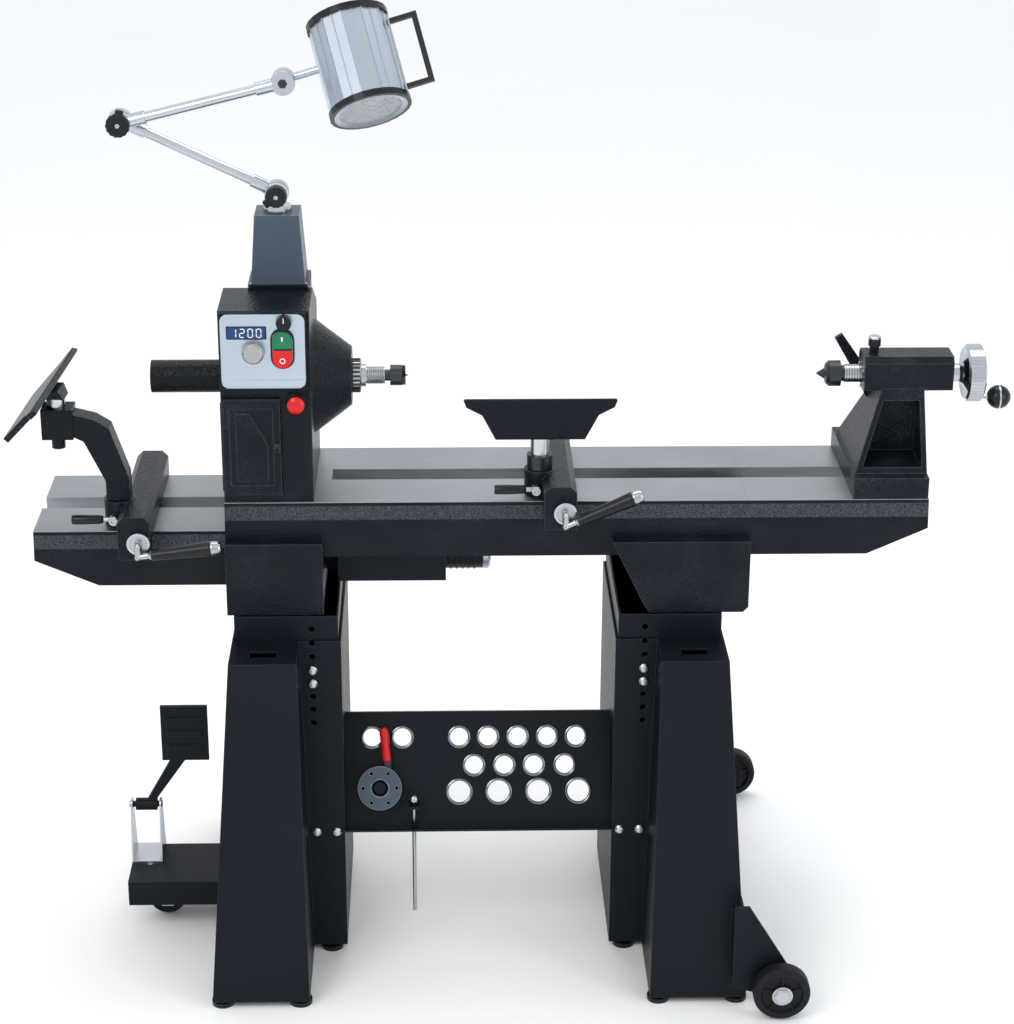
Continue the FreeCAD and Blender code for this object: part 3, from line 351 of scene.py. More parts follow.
BED_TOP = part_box("main_bed")[1].z
LOW_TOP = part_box("left_bed_extension")[1].z
GAP = 0.044
M = {
    "hammer": hammertone(),
    "bed": bed_iron(BED_TOP, GAP),
    "low_bed": bed_iron(LOW_TOP, GAP),
    "black": powder_black(),
    "panel": metal("panel_silver", (0.47, 0.54, 0.62), 0.36, (14, 1, 1), 40.0, 0.00005, 0.05),
    "steel": metal("turned_steel", (0.40, 0.41, 0.43), 0.24, (10, 1, 1), 90.0),
    "zinc": metal("zinc_plate", (0.50, 0.53, 0.57), 0.3, (1, 1, 1), 120.0, 0.0002, 0.2),
    "chrome": metal("chrome", (0.44, 0.47, 0.51), 0.16, (1, 1, 1), 60.0, 0.00003, 0.05),
    "lamp": metal("lamp_silver", (0.43, 0.48, 0.54), 0.33, (1, 1, 9), 40.0, 0.00004, 0.06),
    "lamp_tube": metal("lamp_tube_silver", (0.50, 0.54, 0.59), 0.24, (1, 9, 1), 50.0, 0.00003, 0.06),
    "dark_steel": metal("dark_steel", (0.05, 0.055, 0.06), 0.34, (8, 1, 1), 80.0),
    "plastic": plastic("black_plastic", (0.005, 0.006, 0.008), 0.3),
    "green": plastic("green_button", (0.01, 0.16, 0.075), 0.3),
    "red": plastic("red_button", (0.55, 0.012, 0.014), 0.24),
    "rubber": rubber("belt_rubber"),
    "tyre": rubber("tyre_black", (0.006, 0.007, 0.009)),
    "blue_grey": powder_black("blue_grey_enamel", (0.06, 0.083, 0.112), 0.33),
    "plate_grey": powder_black("plate_grey", (0.07, 0.09, 0.118), 0.38),
    "glass": lens_glass(),
    "display": plastic("display_blue", (0.012, 0.05, 0.16), 0.18),
    "white": plastic("white_print", (0.82, 0.84, 0.86), 0.45),
    "wheel_frame": powder_black("powder_black_with_caps", caps_beyond=0.3645),
    "rim": metal("dark_polished_rim", (0.16, 0.17, 0.19), 0.2, (1, 1, 1), 90.0, 0.00003),
}
POSTS = {
    "rest": (0.836, (0.034, -0.08)),
    "outer_rest": (0.9016, (-0.676, -0.08)),
    "neck": (0.7426, (-0.591, -0.08)),
}
for key, (cast_above, post) in POSTS.items():
    M[key] = cast_on_post(key + "_enamel_and_post", cast_above, post)
FINISH = {
    "bed": ["main_bed", "right_bed_extension"],
    "low_bed": ["left_bed_extension"],
    "hammer": ["left_bed_foot", "right_bed_foot", "headstock_housing", "belt_door", "banjo_clamp_plate", "banjo",
               "outboard_clamp", "outboard_banjo", "tailstock_body", "tailstock_clamp", "tailstock_lock_lever"],
    "steel": ["spindle_bearings", "spindle", "motor_shaft", "speed_knob", "banjo_clamp_bolt", "banjo_lever",
              "banjo_lock_handle", "outboard_lever", "outboard_lock_handle", "quill", "knock_out_rod"],
    "dark_steel": ["drive_centre", "live_centre", "rest_collar"],
    "rubber": ["drive_belt"],
    "black": ["control_panel", "motor_housing", "left_stand_frame", "height_posts", "tool_shelf", "pedal"],
    "wheel_frame": ["right_stand_frame"],
    "rest": ["tool_rest"],
    "outer_rest": ["outboard_tool_rest"],
    "neck": ["goose_neck"],
    "plastic": ["range_knob", "levelling_feet", "handwheel_knob", "quill_lock_knob", "lamp_handle"],
    "green": ["start_button"],
    "red": ["stop_button", "emergency_stop_button"],
    "zinc": ["stand_bolts", "caster_fork", "pedal_bracket"],
    "plate_grey": ["faceplate"],
    "chrome": ["quill_handwheel", "lamp_swivel"],
    "blue_grey": ["lamp_post"],
    "lamp_tube": ["lamp_lower_arm", "lamp_upper_arm"],
    "lamp": ["lamp_head"],
    "glass": ["lamp_lens"],
    "tyre": ["transport_wheels", "caster_wheel"],
}


def smooth(mesh, angle=35):
    """Smooth shading that keeps the edges sharper than an angle."""
    mesh.shade_smooth()
    mesh.set_sharp_from_angle(angle=math.radians(angle))


def finish_nodes():
    for key, names in FINISH.items():
        for name in names:
            node = NODES[name]
            node.data.materials.clear()
            node.data.materials.append(M[key])
            smooth(node.data)


finish_nodes()


# ---------------------------------------------------------------- shapes for the added pieces, in millimetres

RIGHT, UP = (1, 0, 0), (0, 0, 1)


def spot(x, y, z):
    """A frame at a place, square to the world."""
    return Matrix.Translation((x * MM, y * MM, z * MM))


def about(angle, axis):
    """A turn by degrees."""
    return Matrix.Rotation(math.radians(angle), 4, axis)


def piece(name, bm, body, finish):
    """Turns a mesh in the making into a piece that rides on a body."""
    bmesh.ops.recalc_face_normals(bm, faces=bm.faces)
    mesh = bpy.data.meshes.new(name)
    bm.to_mesh(mesh)
    bm.free()
    mesh.materials.append(M[finish])
    smooth(mesh)
    made = bpy.data.objects.new(name, mesh)
    bpy.context.scene.collection.objects.link(made)
    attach(made, body)


def front(x, y, z):
    """A frame on a face that looks along -Y: X to the right, Y up and Z out of the face."""
    return Matrix(((1, 0, 0, x * MM), (0, 0, -1, y * MM), (0, 1, 0, z * MM), (0, 0, 0, 1)))


def aim(place, axis):
    """A frame at a place, with its Z along an axis."""
    return Matrix.Translation(Vector(place) * MM) @ Vector(axis).to_track_quat("Z", "Y").to_matrix().to_4x4()


def polar(radii):
    """An outline with one radius for each step of a turn."""
    turn = [math.tau * step / len(radii) for step in range(len(radii))]
    return [(radius * math.cos(a), radius * math.sin(a)) for radius, a in zip(radii, turn)]


def placed(outline, level, frame):
    """An outline at a level over a frame, as points in metres."""
    return [frame @ (Vector((x, y, level)) * MM) for x, y in outline]


def skin(bm, rings, closed_ends=True):
    """Faces between rings of points, then over the first and the last, or from the last back to the first."""
    made = [[bm.verts.new(point) for point in ring] for ring in rings]
    after = made[1:] if closed_ends else made[1:] + made[:1]
    for low, high in zip(made, after):
        for here in range(len(low)):
            there = (here + 1) % len(low)
            bm.faces.new((low[here], low[there], high[there], high[here]))
    if closed_ends:
        bm.faces.new(made[0][::-1])
        bm.faces.new(made[-1])


def spun(bm, profile, frame, steps=40, closed_ends=True):
    """A turned shape from (radius, distance) pairs, or a ring when its profile is a loop."""
    skin(bm, [placed(polar([radius] * steps), along, frame) for radius, along in profile], closed_ends)


def prism(bm, outline, low, high, frame):
    skin(bm, [placed(outline, low, frame), placed(outline, high, frame)])


def rounded(width, height, radius, steps=7):
    """A rectangle's outline with round corners."""
    points = []
    for quarter, (side, end) in enumerate(((1, 1), (-1, 1), (-1, -1), (1, -1))):
        x, y = (width / 2 - radius) * side, (height / 2 - radius) * end
        for step in range(steps):
            a = math.radians(90 * (quarter + step / (steps - 1)))
            points.append((x + radius * math.cos(a), y + radius * math.sin(a)))
    return points


def plate(bm, size, low, high, frame, edge=0.5):
    """A rounded plate with a small chamfer round its face. The size is (width, height, corner radius)."""
    width, height, radius = size
    rings = []
    for inset, level in ((0, low), (0, high - edge), (edge, high)):
        outline = rounded(width - 2 * inset, height - 2 * inset, radius - inset)
        rings.append(placed(outline, level, frame))
    skin(bm, rings)


def screw_head(bm, frame, radius=3.0):
    """A round head with a hexagon socket."""
    spun(bm, [(radius, -0.4), (radius, radius * 0.35), (radius * 0.8, radius * 0.55),
              (radius * 0.5, radius * 0.55), (radius * 0.42, radius * 0.15)], frame, 24)


def helix(bm, root, crest, pitch, length, frame, steps=30):
    """A raised screw thread."""
    rows = []
    for step in range(int(steps * (length / pitch - 1)) + 1):
        a, along = math.tau * step / steps, pitch * step / steps
        rows.append([bm.verts.new(frame @ (Vector((r * math.cos(a), r * math.sin(a), along + rise)) * MM))
                     for r, rise in ((root, 0), (crest, pitch * 0.42), (crest, pitch * 0.54), (root, pitch * 0.96))])
    for low, high in zip(rows, rows[1:]):
        for here in range(4):
            there = (here + 1) % 4
            bm.faces.new((low[here], low[there], high[there], high[here]))
    bm.faces.new(rows[0][::-1])
    bm.faces.new(rows[-1])


# ---------------------------------------------------------------- headstock panel

PANEL_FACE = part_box("control_panel")[0].y / MM
PANEL_MID, PANEL_HIGH = -368.5, 981.5
STRIP_Z = 933.5
DISPLAY_X, DISPLAY_Z = -391.5, 1010
BUTTONS_X, START_Z, STOP_Z = -340, 1003, 970
SPEED_KNOB, RANGE_KNOB = (-382, 982), (-337, 1026.5)
EMERGENCY_STOP = (-323, -110, 901)
FIGURES = "1200"
SEGMENTS = {"0": "abcdef", "1": "bc", "2": "abged", "5": "acdfg"}


def digit(bm, figure, x, z, frame_y):
    """One figure of a seven-segment display."""
    wide, tall, thick = 6.6, 6.2, 1.5
    bars = {"a": (0, tall), "g": (0, 0), "d": (0, -tall)}
    posts = {name: (side * wide / 2, end * tall / 2)
             for name, side, end in (("f", -1, 1), ("b", 1, 1), ("e", -1, -1), ("c", 1, -1))}
    for segment in SEGMENTS[figure]:
        across, up = bars.get(segment) or posts[segment]
        size = (wide - 1.3, thick) if segment in bars else (thick, tall - 1.2)
        half_w, half_h = size[0] / 2, size[1] / 2
        outline = [(across + sx * half_w, up + sz * half_h) for sx, sz in ((-1, -1), (1, -1), (1, 1), (-1, 1))]
        prism(bm, outline, 0, 0.25, front(x, frame_y, z))


def panel_pieces():
    bm = bmesh.new()
    plate(bm, (122, 112, 11), -0.2, 0.9, front(PANEL_MID, PANEL_FACE, PANEL_HIGH))
    piece("panel_face_plate", bm, "stand", "panel")
    bm = bmesh.new()
    plate(bm, (58, 20, 1.5), 0.5, 1.6, front(DISPLAY_X, PANEL_FACE, DISPLAY_Z))
    piece("display_bezel", bm, "stand", "plastic")
    bm = bmesh.new()
    plate(bm, (55, 17.4, 0.8), 1.2, 2.0, front(DISPLAY_X, PANEL_FACE, DISPLAY_Z), 0.2)
    piece("display_window", bm, "stand", "display")
    bm = bmesh.new()
    for place, figure in enumerate(FIGURES):
        digit(bm, figure, DISPLAY_X - 18 + 12 * place, DISPLAY_Z, PANEL_FACE - 2.0)
    piece("display_figures", bm, "stand", "white")
    bm = bmesh.new()
    surround = front(BUTTONS_X, PANEL_FACE, (START_Z + STOP_Z) / 2)
    foot, shoulder, inside = (35, 62, 17.4), (34, 61, 16.9), (29.6, 56.6, 14.7)
    section = ((foot, 0.5), (shoulder, 3.2), (inside, 3.2), (inside, 0.5))
    skin(bm, [placed(rounded(*size), level, surround) for size, level in section], False)
    piece("button_surround", bm, "stand", "plastic")
    bm = bmesh.new()
    plate(bm, (120, 11, 5), 0.6, 1.7, front(PANEL_MID, PANEL_FACE, STRIP_Z), 0.5)
    piece("panel_lower_strip", bm, "stand", "panel")


def knob_pieces():
    knob_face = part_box("speed_knob")[0].y / MM
    knurl = polar([15.5 + 0.6 * (step % 2) for step in range(90)])
    knob = front(SPEED_KNOB[0], knob_face, SPEED_KNOB[1])
    bm = bmesh.new()
    prism(bm, knurl, -11.5, -2.5, knob)
    spun(bm, [(13.2, -0.3), (13.2, 0.2), (12.6, 0.2), (12.4, -0.3)], knob, 48, False)
    piece("speed_knob_grip", bm, "speed_knob", "steel")
    range_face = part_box("range_knob")[0].y / MM
    bm = bmesh.new()
    plate(bm, (5.5, 22.5, 2.2), -9, 1.2, front(RANGE_KNOB[0], range_face, RANGE_KNOB[1]), 0.8)
    piece("range_knob_bar", bm, "range_knob", "plastic")
    bm = bmesh.new()
    plate(bm, (1.2, 8, 0.5), 0.8, 1.5, front(RANGE_KNOB[0], range_face, RANGE_KNOB[1] + 5.5), 0.1)
    piece("range_knob_mark", bm, "range_knob", "white")
    bm = bmesh.new()
    plate(bm, (2.2, 7, 1), -0.2, 0.4, front(BUTTONS_X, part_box("start_button")[0].y / MM, START_Z), 0.1)
    piece("start_button_bar", bm, "start_button", "white")
    bm = bmesh.new()
    spun(bm, [(4.2, -0.2), (4.2, 0.4), (2.9, 0.4), (2.9, -0.2)],
         front(BUTTONS_X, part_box("stop_button")[0].y / MM, STOP_Z), 32, False)
    piece("stop_button_ring", bm, "stop_button", "white")
    bm = bmesh.new()
    spun(bm, [(13.6, -0.2), (13.6, 1.6), (12.8, 2.2), (10, 2.2), (10, -0.2)], front(*EMERGENCY_STOP), 40,
         False)
    piece("emergency_stop_collar", bm, "stand", "plastic")


SPINDLE_Z = 905
SPINDLE_LINE = aim((0, 0, SPINDLE_Z), RIGHT)
NUT_X, BEARING_CAP_X = -238.5, -301


def headstock_pieces():
    bm = bmesh.new()
    helix(bm, 12.6, 13.6, 3.2, 27.5, aim((-223.8, 0, SPINDLE_Z), RIGHT))
    piece("spindle_thread", bm, "spindle", "steel")
    bm = bmesh.new()
    for angle in range(0, 360, 15):
        lug = spot(NUT_X, 0, SPINDLE_Z) @ about(angle, "X")
        prism(bm, [(-6.2, -1.7), (6.2, -1.7), (6.2, 1.7), (-6.2, 1.7)], 23.5, 25.8, lug)
    spun(bm, [(25.0, -246), (25.7, -245.3), (25.7, -243.6), (25.0, -243)], SPINDLE_LINE, 48, False)
    piece("spindle_nut_lugs", bm, "spindle", "dark_steel")
    bm = bmesh.new()
    spun(bm, [(25.5, -303), (33.5, -303), (33.5, -299.4), (31.5, -298.4), (27, -298.4), (25.5, -299.4)],
         SPINDLE_LINE, 48, False)
    for angle in range(45, 360, 90):
        a = math.radians(angle)
        screw_head(bm, aim((BEARING_CAP_X, 41 * math.cos(a), SPINDLE_Z + 41 * math.sin(a)), RIGHT), 3.2)
    piece("bearing_cap", bm, "stand", "dark_steel")
    bm = bmesh.new()
    plate(bm, (90, 78, 5), 0, 4.6, spot(-351, 35.5, 1043), 0.8)
    piece("lamp_base_plate", bm, "stand", "plastic")
    bm = bmesh.new()
    for x in (-391, -311):
        for y in (2, 69):
            screw_head(bm, spot(x, y, 1047.4), 2.7)
    piece("lamp_base_screws", bm, "stand", "zinc")
    bm = bmesh.new()
    plate(bm, (9, 15, 3), -0.2, 2.6, front(-352.5, -117, 833), 0.8)
    screw_head(bm, front(-352.5, -119.4, 836), 2.2)
    piece("belt_door_catch", bm, "belt_door", "hammer")


# ---------------------------------------------------------------- lamp

SHOULDER, ELBOW, WRIST = (-351, 1178), (-575, 1284), (-337, 1343)
HUB_FACE = 8
UPPER_ARM_Y, LOWER_ARM_Y = 16, 35
DRUM_HALF, DRUM_REACH, DRUM_SINK = 73, 111, 12
DRUM_DROOP, DRUM_TIP = -17, -33
DRUM = (spot(WRIST[0], LOWER_ARM_Y, WRIST[1]) @ about(DRUM_DROOP, "Y") @ spot(DRUM_REACH, 0, 0)
        @ about(DRUM_TIP, "X") @ spot(0, 0, -DRUM_SINK))


def clamp_knob(bm, centre, radius, tab):
    """A round lobed knob with one ear that stands out at an angle."""
    hub = front(centre[0], HUB_FACE, centre[1])
    lobes = polar([radius + 0.5 * math.cos(14 * math.tau * step / 84) for step in range(84)])
    section = ((0.96, 0.2), (1, 1.2), (1, 8), (0.9, 9.6))
    skin(bm, [placed([(x * scale, y * scale) for x, y in lobes], level, hub) for scale, level in section])
    plate(bm, (11, 12, 2), 0.6, 8.4, hub @ about(tab, "Z") @ spot(radius, 0, 0), 1.0)


def arm_pieces():
    for name, centre, radius, tab, body in (("shoulder_knob", SHOULDER, 15.5, 215, "lamp_swivel"),
                                            ("elbow_knob", ELBOW, 17.2, 80, "lamp_upper_arm")):
        bm = bmesh.new()
        clamp_knob(bm, centre, radius, tab)
        piece(name, bm, body, "plastic")
        bm = bmesh.new()
        screw_head(bm, front(centre[0], HUB_FACE - 9.6, centre[1]), 3.4)
        piece(name + "_screw", bm, body, "zinc")
    bm = bmesh.new()
    spun(bm, [(7.2, -0.2), (7.2, 0.7), (6.4, 1.0)], front(WRIST[0], HUB_FACE, WRIST[1]), 6)
    piece("wrist_socket", bm, "lamp_upper_arm", "dark_steel")
    for name, centre, layer, body in (("lower_arm", SHOULDER, LOWER_ARM_Y, "lamp_lower_arm"),
                                      ("lower_arm_far", ELBOW, LOWER_ARM_Y, "lamp_lower_arm"),
                                      ("upper_arm", ELBOW, UPPER_ARM_Y, "lamp_upper_arm"),
                                      ("upper_arm_far", WRIST, UPPER_ARM_Y, "lamp_upper_arm")):
        bm = bmesh.new()
        spun(bm, [(17, -6.5), (17.6, -6), (17.6, 6), (17, 6.5), (16.4, 6), (16.4, -6)],
             front(centre[0], layer, centre[1]), 48, False)
        piece(name + "_hub_band", bm, body, "lamp")


def drum_pieces():
    half = DRUM_HALF
    bm = bmesh.new()
    for turn in range(24):
        out = 58 if turn % 2 == 0 else 56.1
        prism(bm, [(out - 1, -1.1), (out + 1.5, -0.6), (out + 1.5, 0.6), (out - 1, 1.1)], 9 - half, half - 9,
              DRUM @ about(15 * turn, "Z"))
    piece("drum_ribs", bm, "lamp_head", "lamp")
    toothed, bore = polar([60.06 + (0.3 if step % 5 < 2 else 0) for step in range(120)]), polar([54] * 120)
    for name, low, high in (("drum_top_rim", half - 9.4, half + 0.06),
                            ("drum_bottom_rim", -half - 0.3, 9.4 - half)):
        bm = bmesh.new()
        section = ((toothed, low), (toothed, high), (bore, high), (bore, low))
        skin(bm, [placed(outline, level, DRUM) for outline, level in section], False)
        piece(name, bm, "lamp_head", "plastic")
    bm = bmesh.new()
    spun(bm, [(54.2, -half - 0.4), (52.5, -half + 0.4), (47, 1.6 - half), (46, 1.9 - half), (53, 1.9 - half)],
         DRUM, 64, False)
    piece("lens_bezel", bm, "lamp_head", "lamp")
    bm = bmesh.new()
    for turn in range(3):
        place = DRUM @ about(120 * turn + 40, "Z") @ spot(49.6, 0, 0)
        screw_head(bm, place @ spot(0, 0, 1.3 - half) @ about(180, "X"), 1.8)
    piece("lens_screws", bm, "lamp_head", "zinc")
    bm = bmesh.new()
    spun(bm, [(4, -1), (4, 5), (5.2, 5.4), (5.2, 8), (4.2, 9)], DRUM @ spot(-49, -10, half), 24)
    spun(bm, [(52.5, -0.4), (52.5, 1.0), (50, 1.8), (16, 2.4)], DRUM @ spot(0, 0, half), 64)
    piece("drum_end_cap", bm, "lamp_head", "plastic")


# ---------------------------------------------------------------- levers, wheels and small parts

LEVER_HUB_Y, LEVER_HUB_UP = -169.5, 16


def lever_pieces():
    for name, body, foot, slope in (("banjo", "banjo_lever", (69, -179, 731), 24),
                                    ("outboard", "outboard_lever", (-556, -179, 687), 7)):
        hub_z = foot[2] + LEVER_HUB_UP
        along = (math.cos(math.radians(slope)), 0, math.sin(math.radians(slope)))
        bm = bmesh.new()
        spun(bm, [(5.2, 19), (7.4, 20), (7.9, 26), (10.9, 104), (11.0, 107), (10.0, 109)], aim(foot, along), 32)
        piece(name + "_lever_grip", bm, body, "plastic")
        bm = bmesh.new()
        spun(bm, [(5.0, 4), (5.4, 5), (5.4, 13), (5.0, 14)], front(foot[0], LEVER_HUB_Y + 12, hub_z), 32)
        spun(bm, [(17, -0.4), (17, 0.3), (15.6, 0.5), (13, 0.5), (12.6, -0.2)],
             front(foot[0], LEVER_HUB_Y + 0.2, hub_z), 40)
        screw_head(bm, front(foot[0] + 10.5, LEVER_HUB_Y, hub_z), 2.4)
        piece(name + "_lever_hub_ring", bm, body, "chrome")
    for name, body, x, z in (("banjo", "banjo_lock_handle", 28, 763.3),
                             ("outboard", "outboard_lock_handle", -597, 719.3)):
        bm = bmesh.new()
        spun(bm, [(4.2, -1), (5.4, 0.4), (6.6, 4), (7.4, 30), (7.2, 44), (6.4, 46)],
             aim((x - 16, -111, z), (-1, 0, 0)), 28)
        piece(name + "_lock_grip", bm, body, "plastic")
        bm = bmesh.new()
        spun(bm, [(7, -0.2), (7.6, 0.5), (7.6, 3), (6.4, 4.2), (3, 4.2), (2.6, 3)], front(x, -116.9, z), 32)
        piece(name + "_lock_boss", bm, body, "steel")


HANDWHEEL = aim((655.3, 0, SPINDLE_Z), RIGHT)
HANDWHEEL_KNOB = aim((728.3, -14, 871), RIGHT)


def tailstock_pieces():
    bm = bmesh.new()
    for along in range(6):
        spun(bm, [(13.45, 4 * along), (13.6, 4 * along + 0.2), (13.6, 4 * along + 0.7), (13.45, 4 * along + 0.9)],
             aim((496.5, 0, SPINDLE_Z), RIGHT), 40, False)
    piece("quill_scale", bm, "quill", "dark_steel")
    bm = bmesh.new()
    for turn in range(3):
        a = math.radians(120 * turn + 30)
        screw_head(bm, aim((521, 22 * math.cos(a), SPINDLE_Z + 20 * math.sin(a)), (-1, 0, 0)), 2.4)
    piece("barrel_screws", bm, "tailstock", "zinc")
    bm = bmesh.new()
    spun(bm, [(17.3, -2), (18.3, -1.2), (18.3, 1.2), (17.3, 2)], HANDWHEEL_KNOB, 40, False)
    spun(bm, [(6.5, 15.4), (6.5, 17.4), (5, 17.9)], HANDWHEEL_KNOB, 24)
    piece("handwheel_knob_ring", bm, "handwheel_knob", "chrome")
    bm = bmesh.new()
    for turn in range(10):
        prism(bm, [(17, -1.4), (34, -1.4), (34, 1.4), (17, 1.4)], 26, 31.5, HANDWHEEL @ about(36 * turn, "Z"))
    for turn in range(48):
        prism(bm, [(42.8, -0.9), (43.5, -0.5), (43.5, 0.5), (42.8, 0.9)], 25, 44,
              HANDWHEEL @ about(7.5 * turn, "Z"))
    piece("handwheel_ribs", bm, "quill_handwheel", "chrome")
    bm = bmesh.new()
    spun(bm, [(9.4, -0.2), (9.4, 2.4), (8, 3.4)], aim((540, 10, 957), UP), 32)
    piece("quill_knob_cap", bm, "quill_lock_knob", "chrome")
    bm = bmesh.new()
    spun(bm, [(11, -0.2), (11, 2.4), (9.4, 4), (5, 4), (4.4, 2.4)], aim((545, 60, 868), (0, 1, 0)), 32)
    piece("tail_lever_screw", bm, "tailstock_lock_lever", "zinc")


WHEEL_X, WHEEL_Z, WHEEL_Y, WHEEL_PIN_Y = 394, 45, 350, 370
CASTER_X, CASTER_Y, CASTER_Z = -557, -28, 31


def wheel_pieces():
    for name, facing in (("front", -1), ("rear", 1)):
        bm = bmesh.new()
        cap = aim((WHEEL_X, facing * WHEEL_PIN_Y, WHEEL_Z), (0, facing, 0))
        hub = aim((WHEEL_X, facing * WHEEL_Y, WHEEL_Z), (0, facing, 0))
        spun(bm, [(13.4, -4.6), (13.4, -1.0), (12.6, -0.1)], cap, 6)
        spun(bm, [(15.5, -5.4), (15.5, -4.0), (11.2, -4.0), (11.2, -5.4)], cap, 36, False)
        piece(name + "_wheel_bolt", bm, "stand", "zinc")
        bm = bmesh.new()
        for turn in range(5):
            prism(bm, [(13, -2.4), (31.5, -1.6), (31.5, 1.6), (13, 2.4)], -11.8, 11.8,
                  hub @ about(72 * turn + 18, "Z"))
        for side in (-1, 1):
            spun(bm, [(39, side * 12.4), (40.2, side * 13.4), (33, side * 13.4), (32, side * 12.4)],
                 hub, 48, False)
        piece(name + "_wheel_spokes", bm, "transport_wheels", "tyre")
    bm = bmesh.new()
    for side in (-1, 1):
        nut = aim((CASTER_X, CASTER_Y + 18.4 * side, CASTER_Z), (0, side, 0))
        spun(bm, [(6.5, -1.6), (6.5, 1.4), (5, 2.4)], nut, 6)
    piece("caster_axle_nuts", bm, "caster_fork", "zinc")


MOTOR_Z, MOTOR_END_X = 640, -50


def motor_pieces():
    bm = bmesh.new()
    spun(bm, [(45.8, 0), (46.6, 1), (46.6, 9), (42, 12), (16, 12.5), (12, 10), (12, 0)],
         aim((MOTOR_END_X, 0, MOTOR_Z), RIGHT), 48, False)
    for turn in range(10):
        a = math.radians(36 * turn)
        spun(bm, [(4.2, 11.8), (4.2, 13.2), (3.2, 13.2), (3.2, 11.8)],
             aim((MOTOR_END_X, 30 * math.cos(a), MOTOR_Z + 30 * math.sin(a)), RIGHT), 20, False)
    piece("motor_end_bracket", bm, "stand", "lamp")
    bm = bmesh.new()
    for step in range(5):
        spun(bm, [(45.9, 0), (47.4, 0.5), (47.4, 3), (45.9, 3.5)],
             aim((MOTOR_END_X - 50 + 9 * step, 0, MOTOR_Z), RIGHT), 48, False)
    piece("motor_fins", bm, "stand", "black")


# ---------------------------------------------------------------- tool shelf

SHELF_LEAN = -23.8
SHELF = spot(0, -60, 373) @ about(SHELF_LEAN, "X")
SHELF_ROWS = (  # how far down the shelf, the holes' radius, and where each is from left to right
    (40, 14, (-222, -175, -87, -42, 4, 50, 95)),
    (84, 14, (-64, -17, 29, 77)),
    (125, 17, (-87, -26, 36, 98)),
)


def shelf_pieces():
    bm = bmesh.new()
    for drop, radius, places in SHELF_ROWS:
        rim = [(radius + out, rise) for out, rise in ((0.2, -0.2), (0.5, 0.9), (1.8, 1.4), (3.6, 0.8), (4.2, -0.2))]
        for x in places:
            spun(bm, rim, SHELF @ front(x, -2, -drop), 40, False)
    piece("shelf_hole_rims", bm, "stand", "rim")
    top, foot = Vector((-204, -12, -24)), Vector((-199, -12, -76))
    hung = SHELF @ aim(foot, top - foot)
    bm = bmesh.new()
    spun(bm, [(3, 0), (6.4, 0.8), (7.2, 5), (6.6, 22), (7.4, 44), (6.6, 50), (3.5, 52.2)], hung, 28)
    piece("hook_spanner_grip", bm, "stand", "red")
    bm = bmesh.new()
    plate(bm, (11, 24, 2), -1.6, 1.6, SHELF @ front(-197.8, -12, -84), 0.5)
    piece("hook_spanner_shank", bm, "stand", "dark_steel")
    bm = bmesh.new()
    spun(bm, [(13.2, -0.2), (13.2, 0.4), (15, 0.4), (15.4, -0.2)], SHELF @ front(-210, -24, -117), 40, False)
    piece("faceplate_bore_edge", bm, "faceplate", "plate_grey")


panel_pieces()
knob_pieces()
headstock_pieces()
arm_pieces()
drum_pieces()
lever_pieces()
tailstock_pieces()
wheel_pieces()
motor_pieces()
shelf_pieces()


# ---------------------------------------------------------------- camera, light and floor

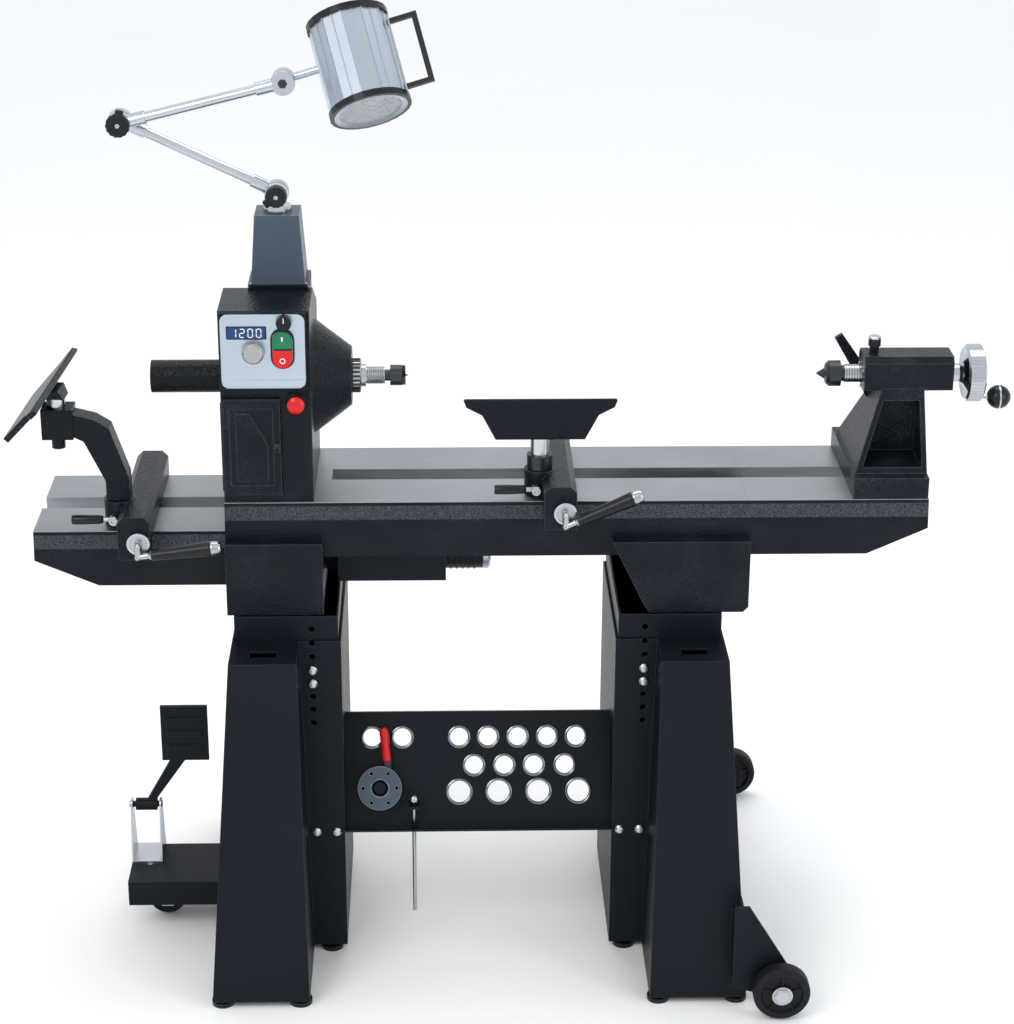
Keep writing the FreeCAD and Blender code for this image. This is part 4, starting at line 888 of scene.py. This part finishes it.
def build_camera():
    """A long lens in front and above, nearly square to the bed, at the photograph's viewing angle."""
    pitch, yaw, roll = math.radians(22.0), math.radians(1.7), math.radians(-0.3)
    place = Vector((-0.1163, -3.5188, 2.1024))
    forward = Vector((math.sin(yaw) * math.cos(pitch), math.cos(yaw) * math.cos(pitch), -math.sin(pitch)))
    right = Vector((math.cos(yaw), -math.sin(yaw), 0))
    up = right.cross(forward)
    right, up = math.cos(roll) * right - math.sin(roll) * up, math.sin(roll) * right + math.cos(roll) * up
    data = bpy.data.cameras.new("camera")
    data.lens = 87.0
    data.shift_y = 0.0015
    data.sensor_width = 36.0
    data.clip_end = 50
    camera = bpy.data.objects.new("camera", data)
    camera.matrix_world = Matrix.Translation(place) @ Matrix((right, up, -forward)).transposed().to_4x4()
    bpy.context.scene.collection.objects.link(camera)
    bpy.context.scene.camera = camera


def area_light(name, place, target, size, watts, tint=(1, 1, 1)):
    data = bpy.data.lights.new(name, "AREA")
    data.shape = "RECTANGLE"
    data.size, data.size_y = size
    data.energy = watts
    data.color = tint
    light = bpy.data.objects.new(name, data)
    light.location = place
    light.rotation_euler = (Vector(target) - Vector(place)).to_track_quat("-Z", "Y").to_euler()
    bpy.context.scene.collection.objects.link(light)


FLOOR_HALF = 30


def build_stage():
    """A pale floor and soft studio light."""
    bm = bmesh.new()
    bmesh.ops.create_grid(bm, x_segments=1, y_segments=1, size=FLOOR_HALF)
    mesh = bpy.data.meshes.new("floor")
    bm.to_mesh(mesh)
    bm.free()
    floor = bpy.data.objects.new("floor", mesh)
    s = Shader("pale_floor", (0.93, 0.935, 0.94), 0.6)
    s.vary(0.02, 1.0)
    mesh.materials.append(s.done())
    bpy.context.scene.collection.objects.link(floor)
    world = bpy.data.worlds.new("studio")
    world.use_nodes = True
    world.node_tree.nodes["Background"].inputs["Color"].default_value = (0.97, 0.985, 1.0, 1)
    world.node_tree.nodes["Background"].inputs["Strength"].default_value = 1.02
    bpy.context.scene.world = world
    bpy.context.scene.view_settings.view_transform = "Standard"
    area_light("key", (-1.9, -2.6, 3.2), (0, 0, 0.8), (1.6, 1.6), 45, (1.0, 0.98, 0.95))
    area_light("fill", (2.6, -2.2, 1.6), (0, 0, 0.8), (1.2, 2.2), 22, (0.94, 0.97, 1.0))
    area_light("top", (0.2, 0.8, 3.4), (0, 0, 0.7), (2.6, 1.4), 35)


build_camera()
build_stage()
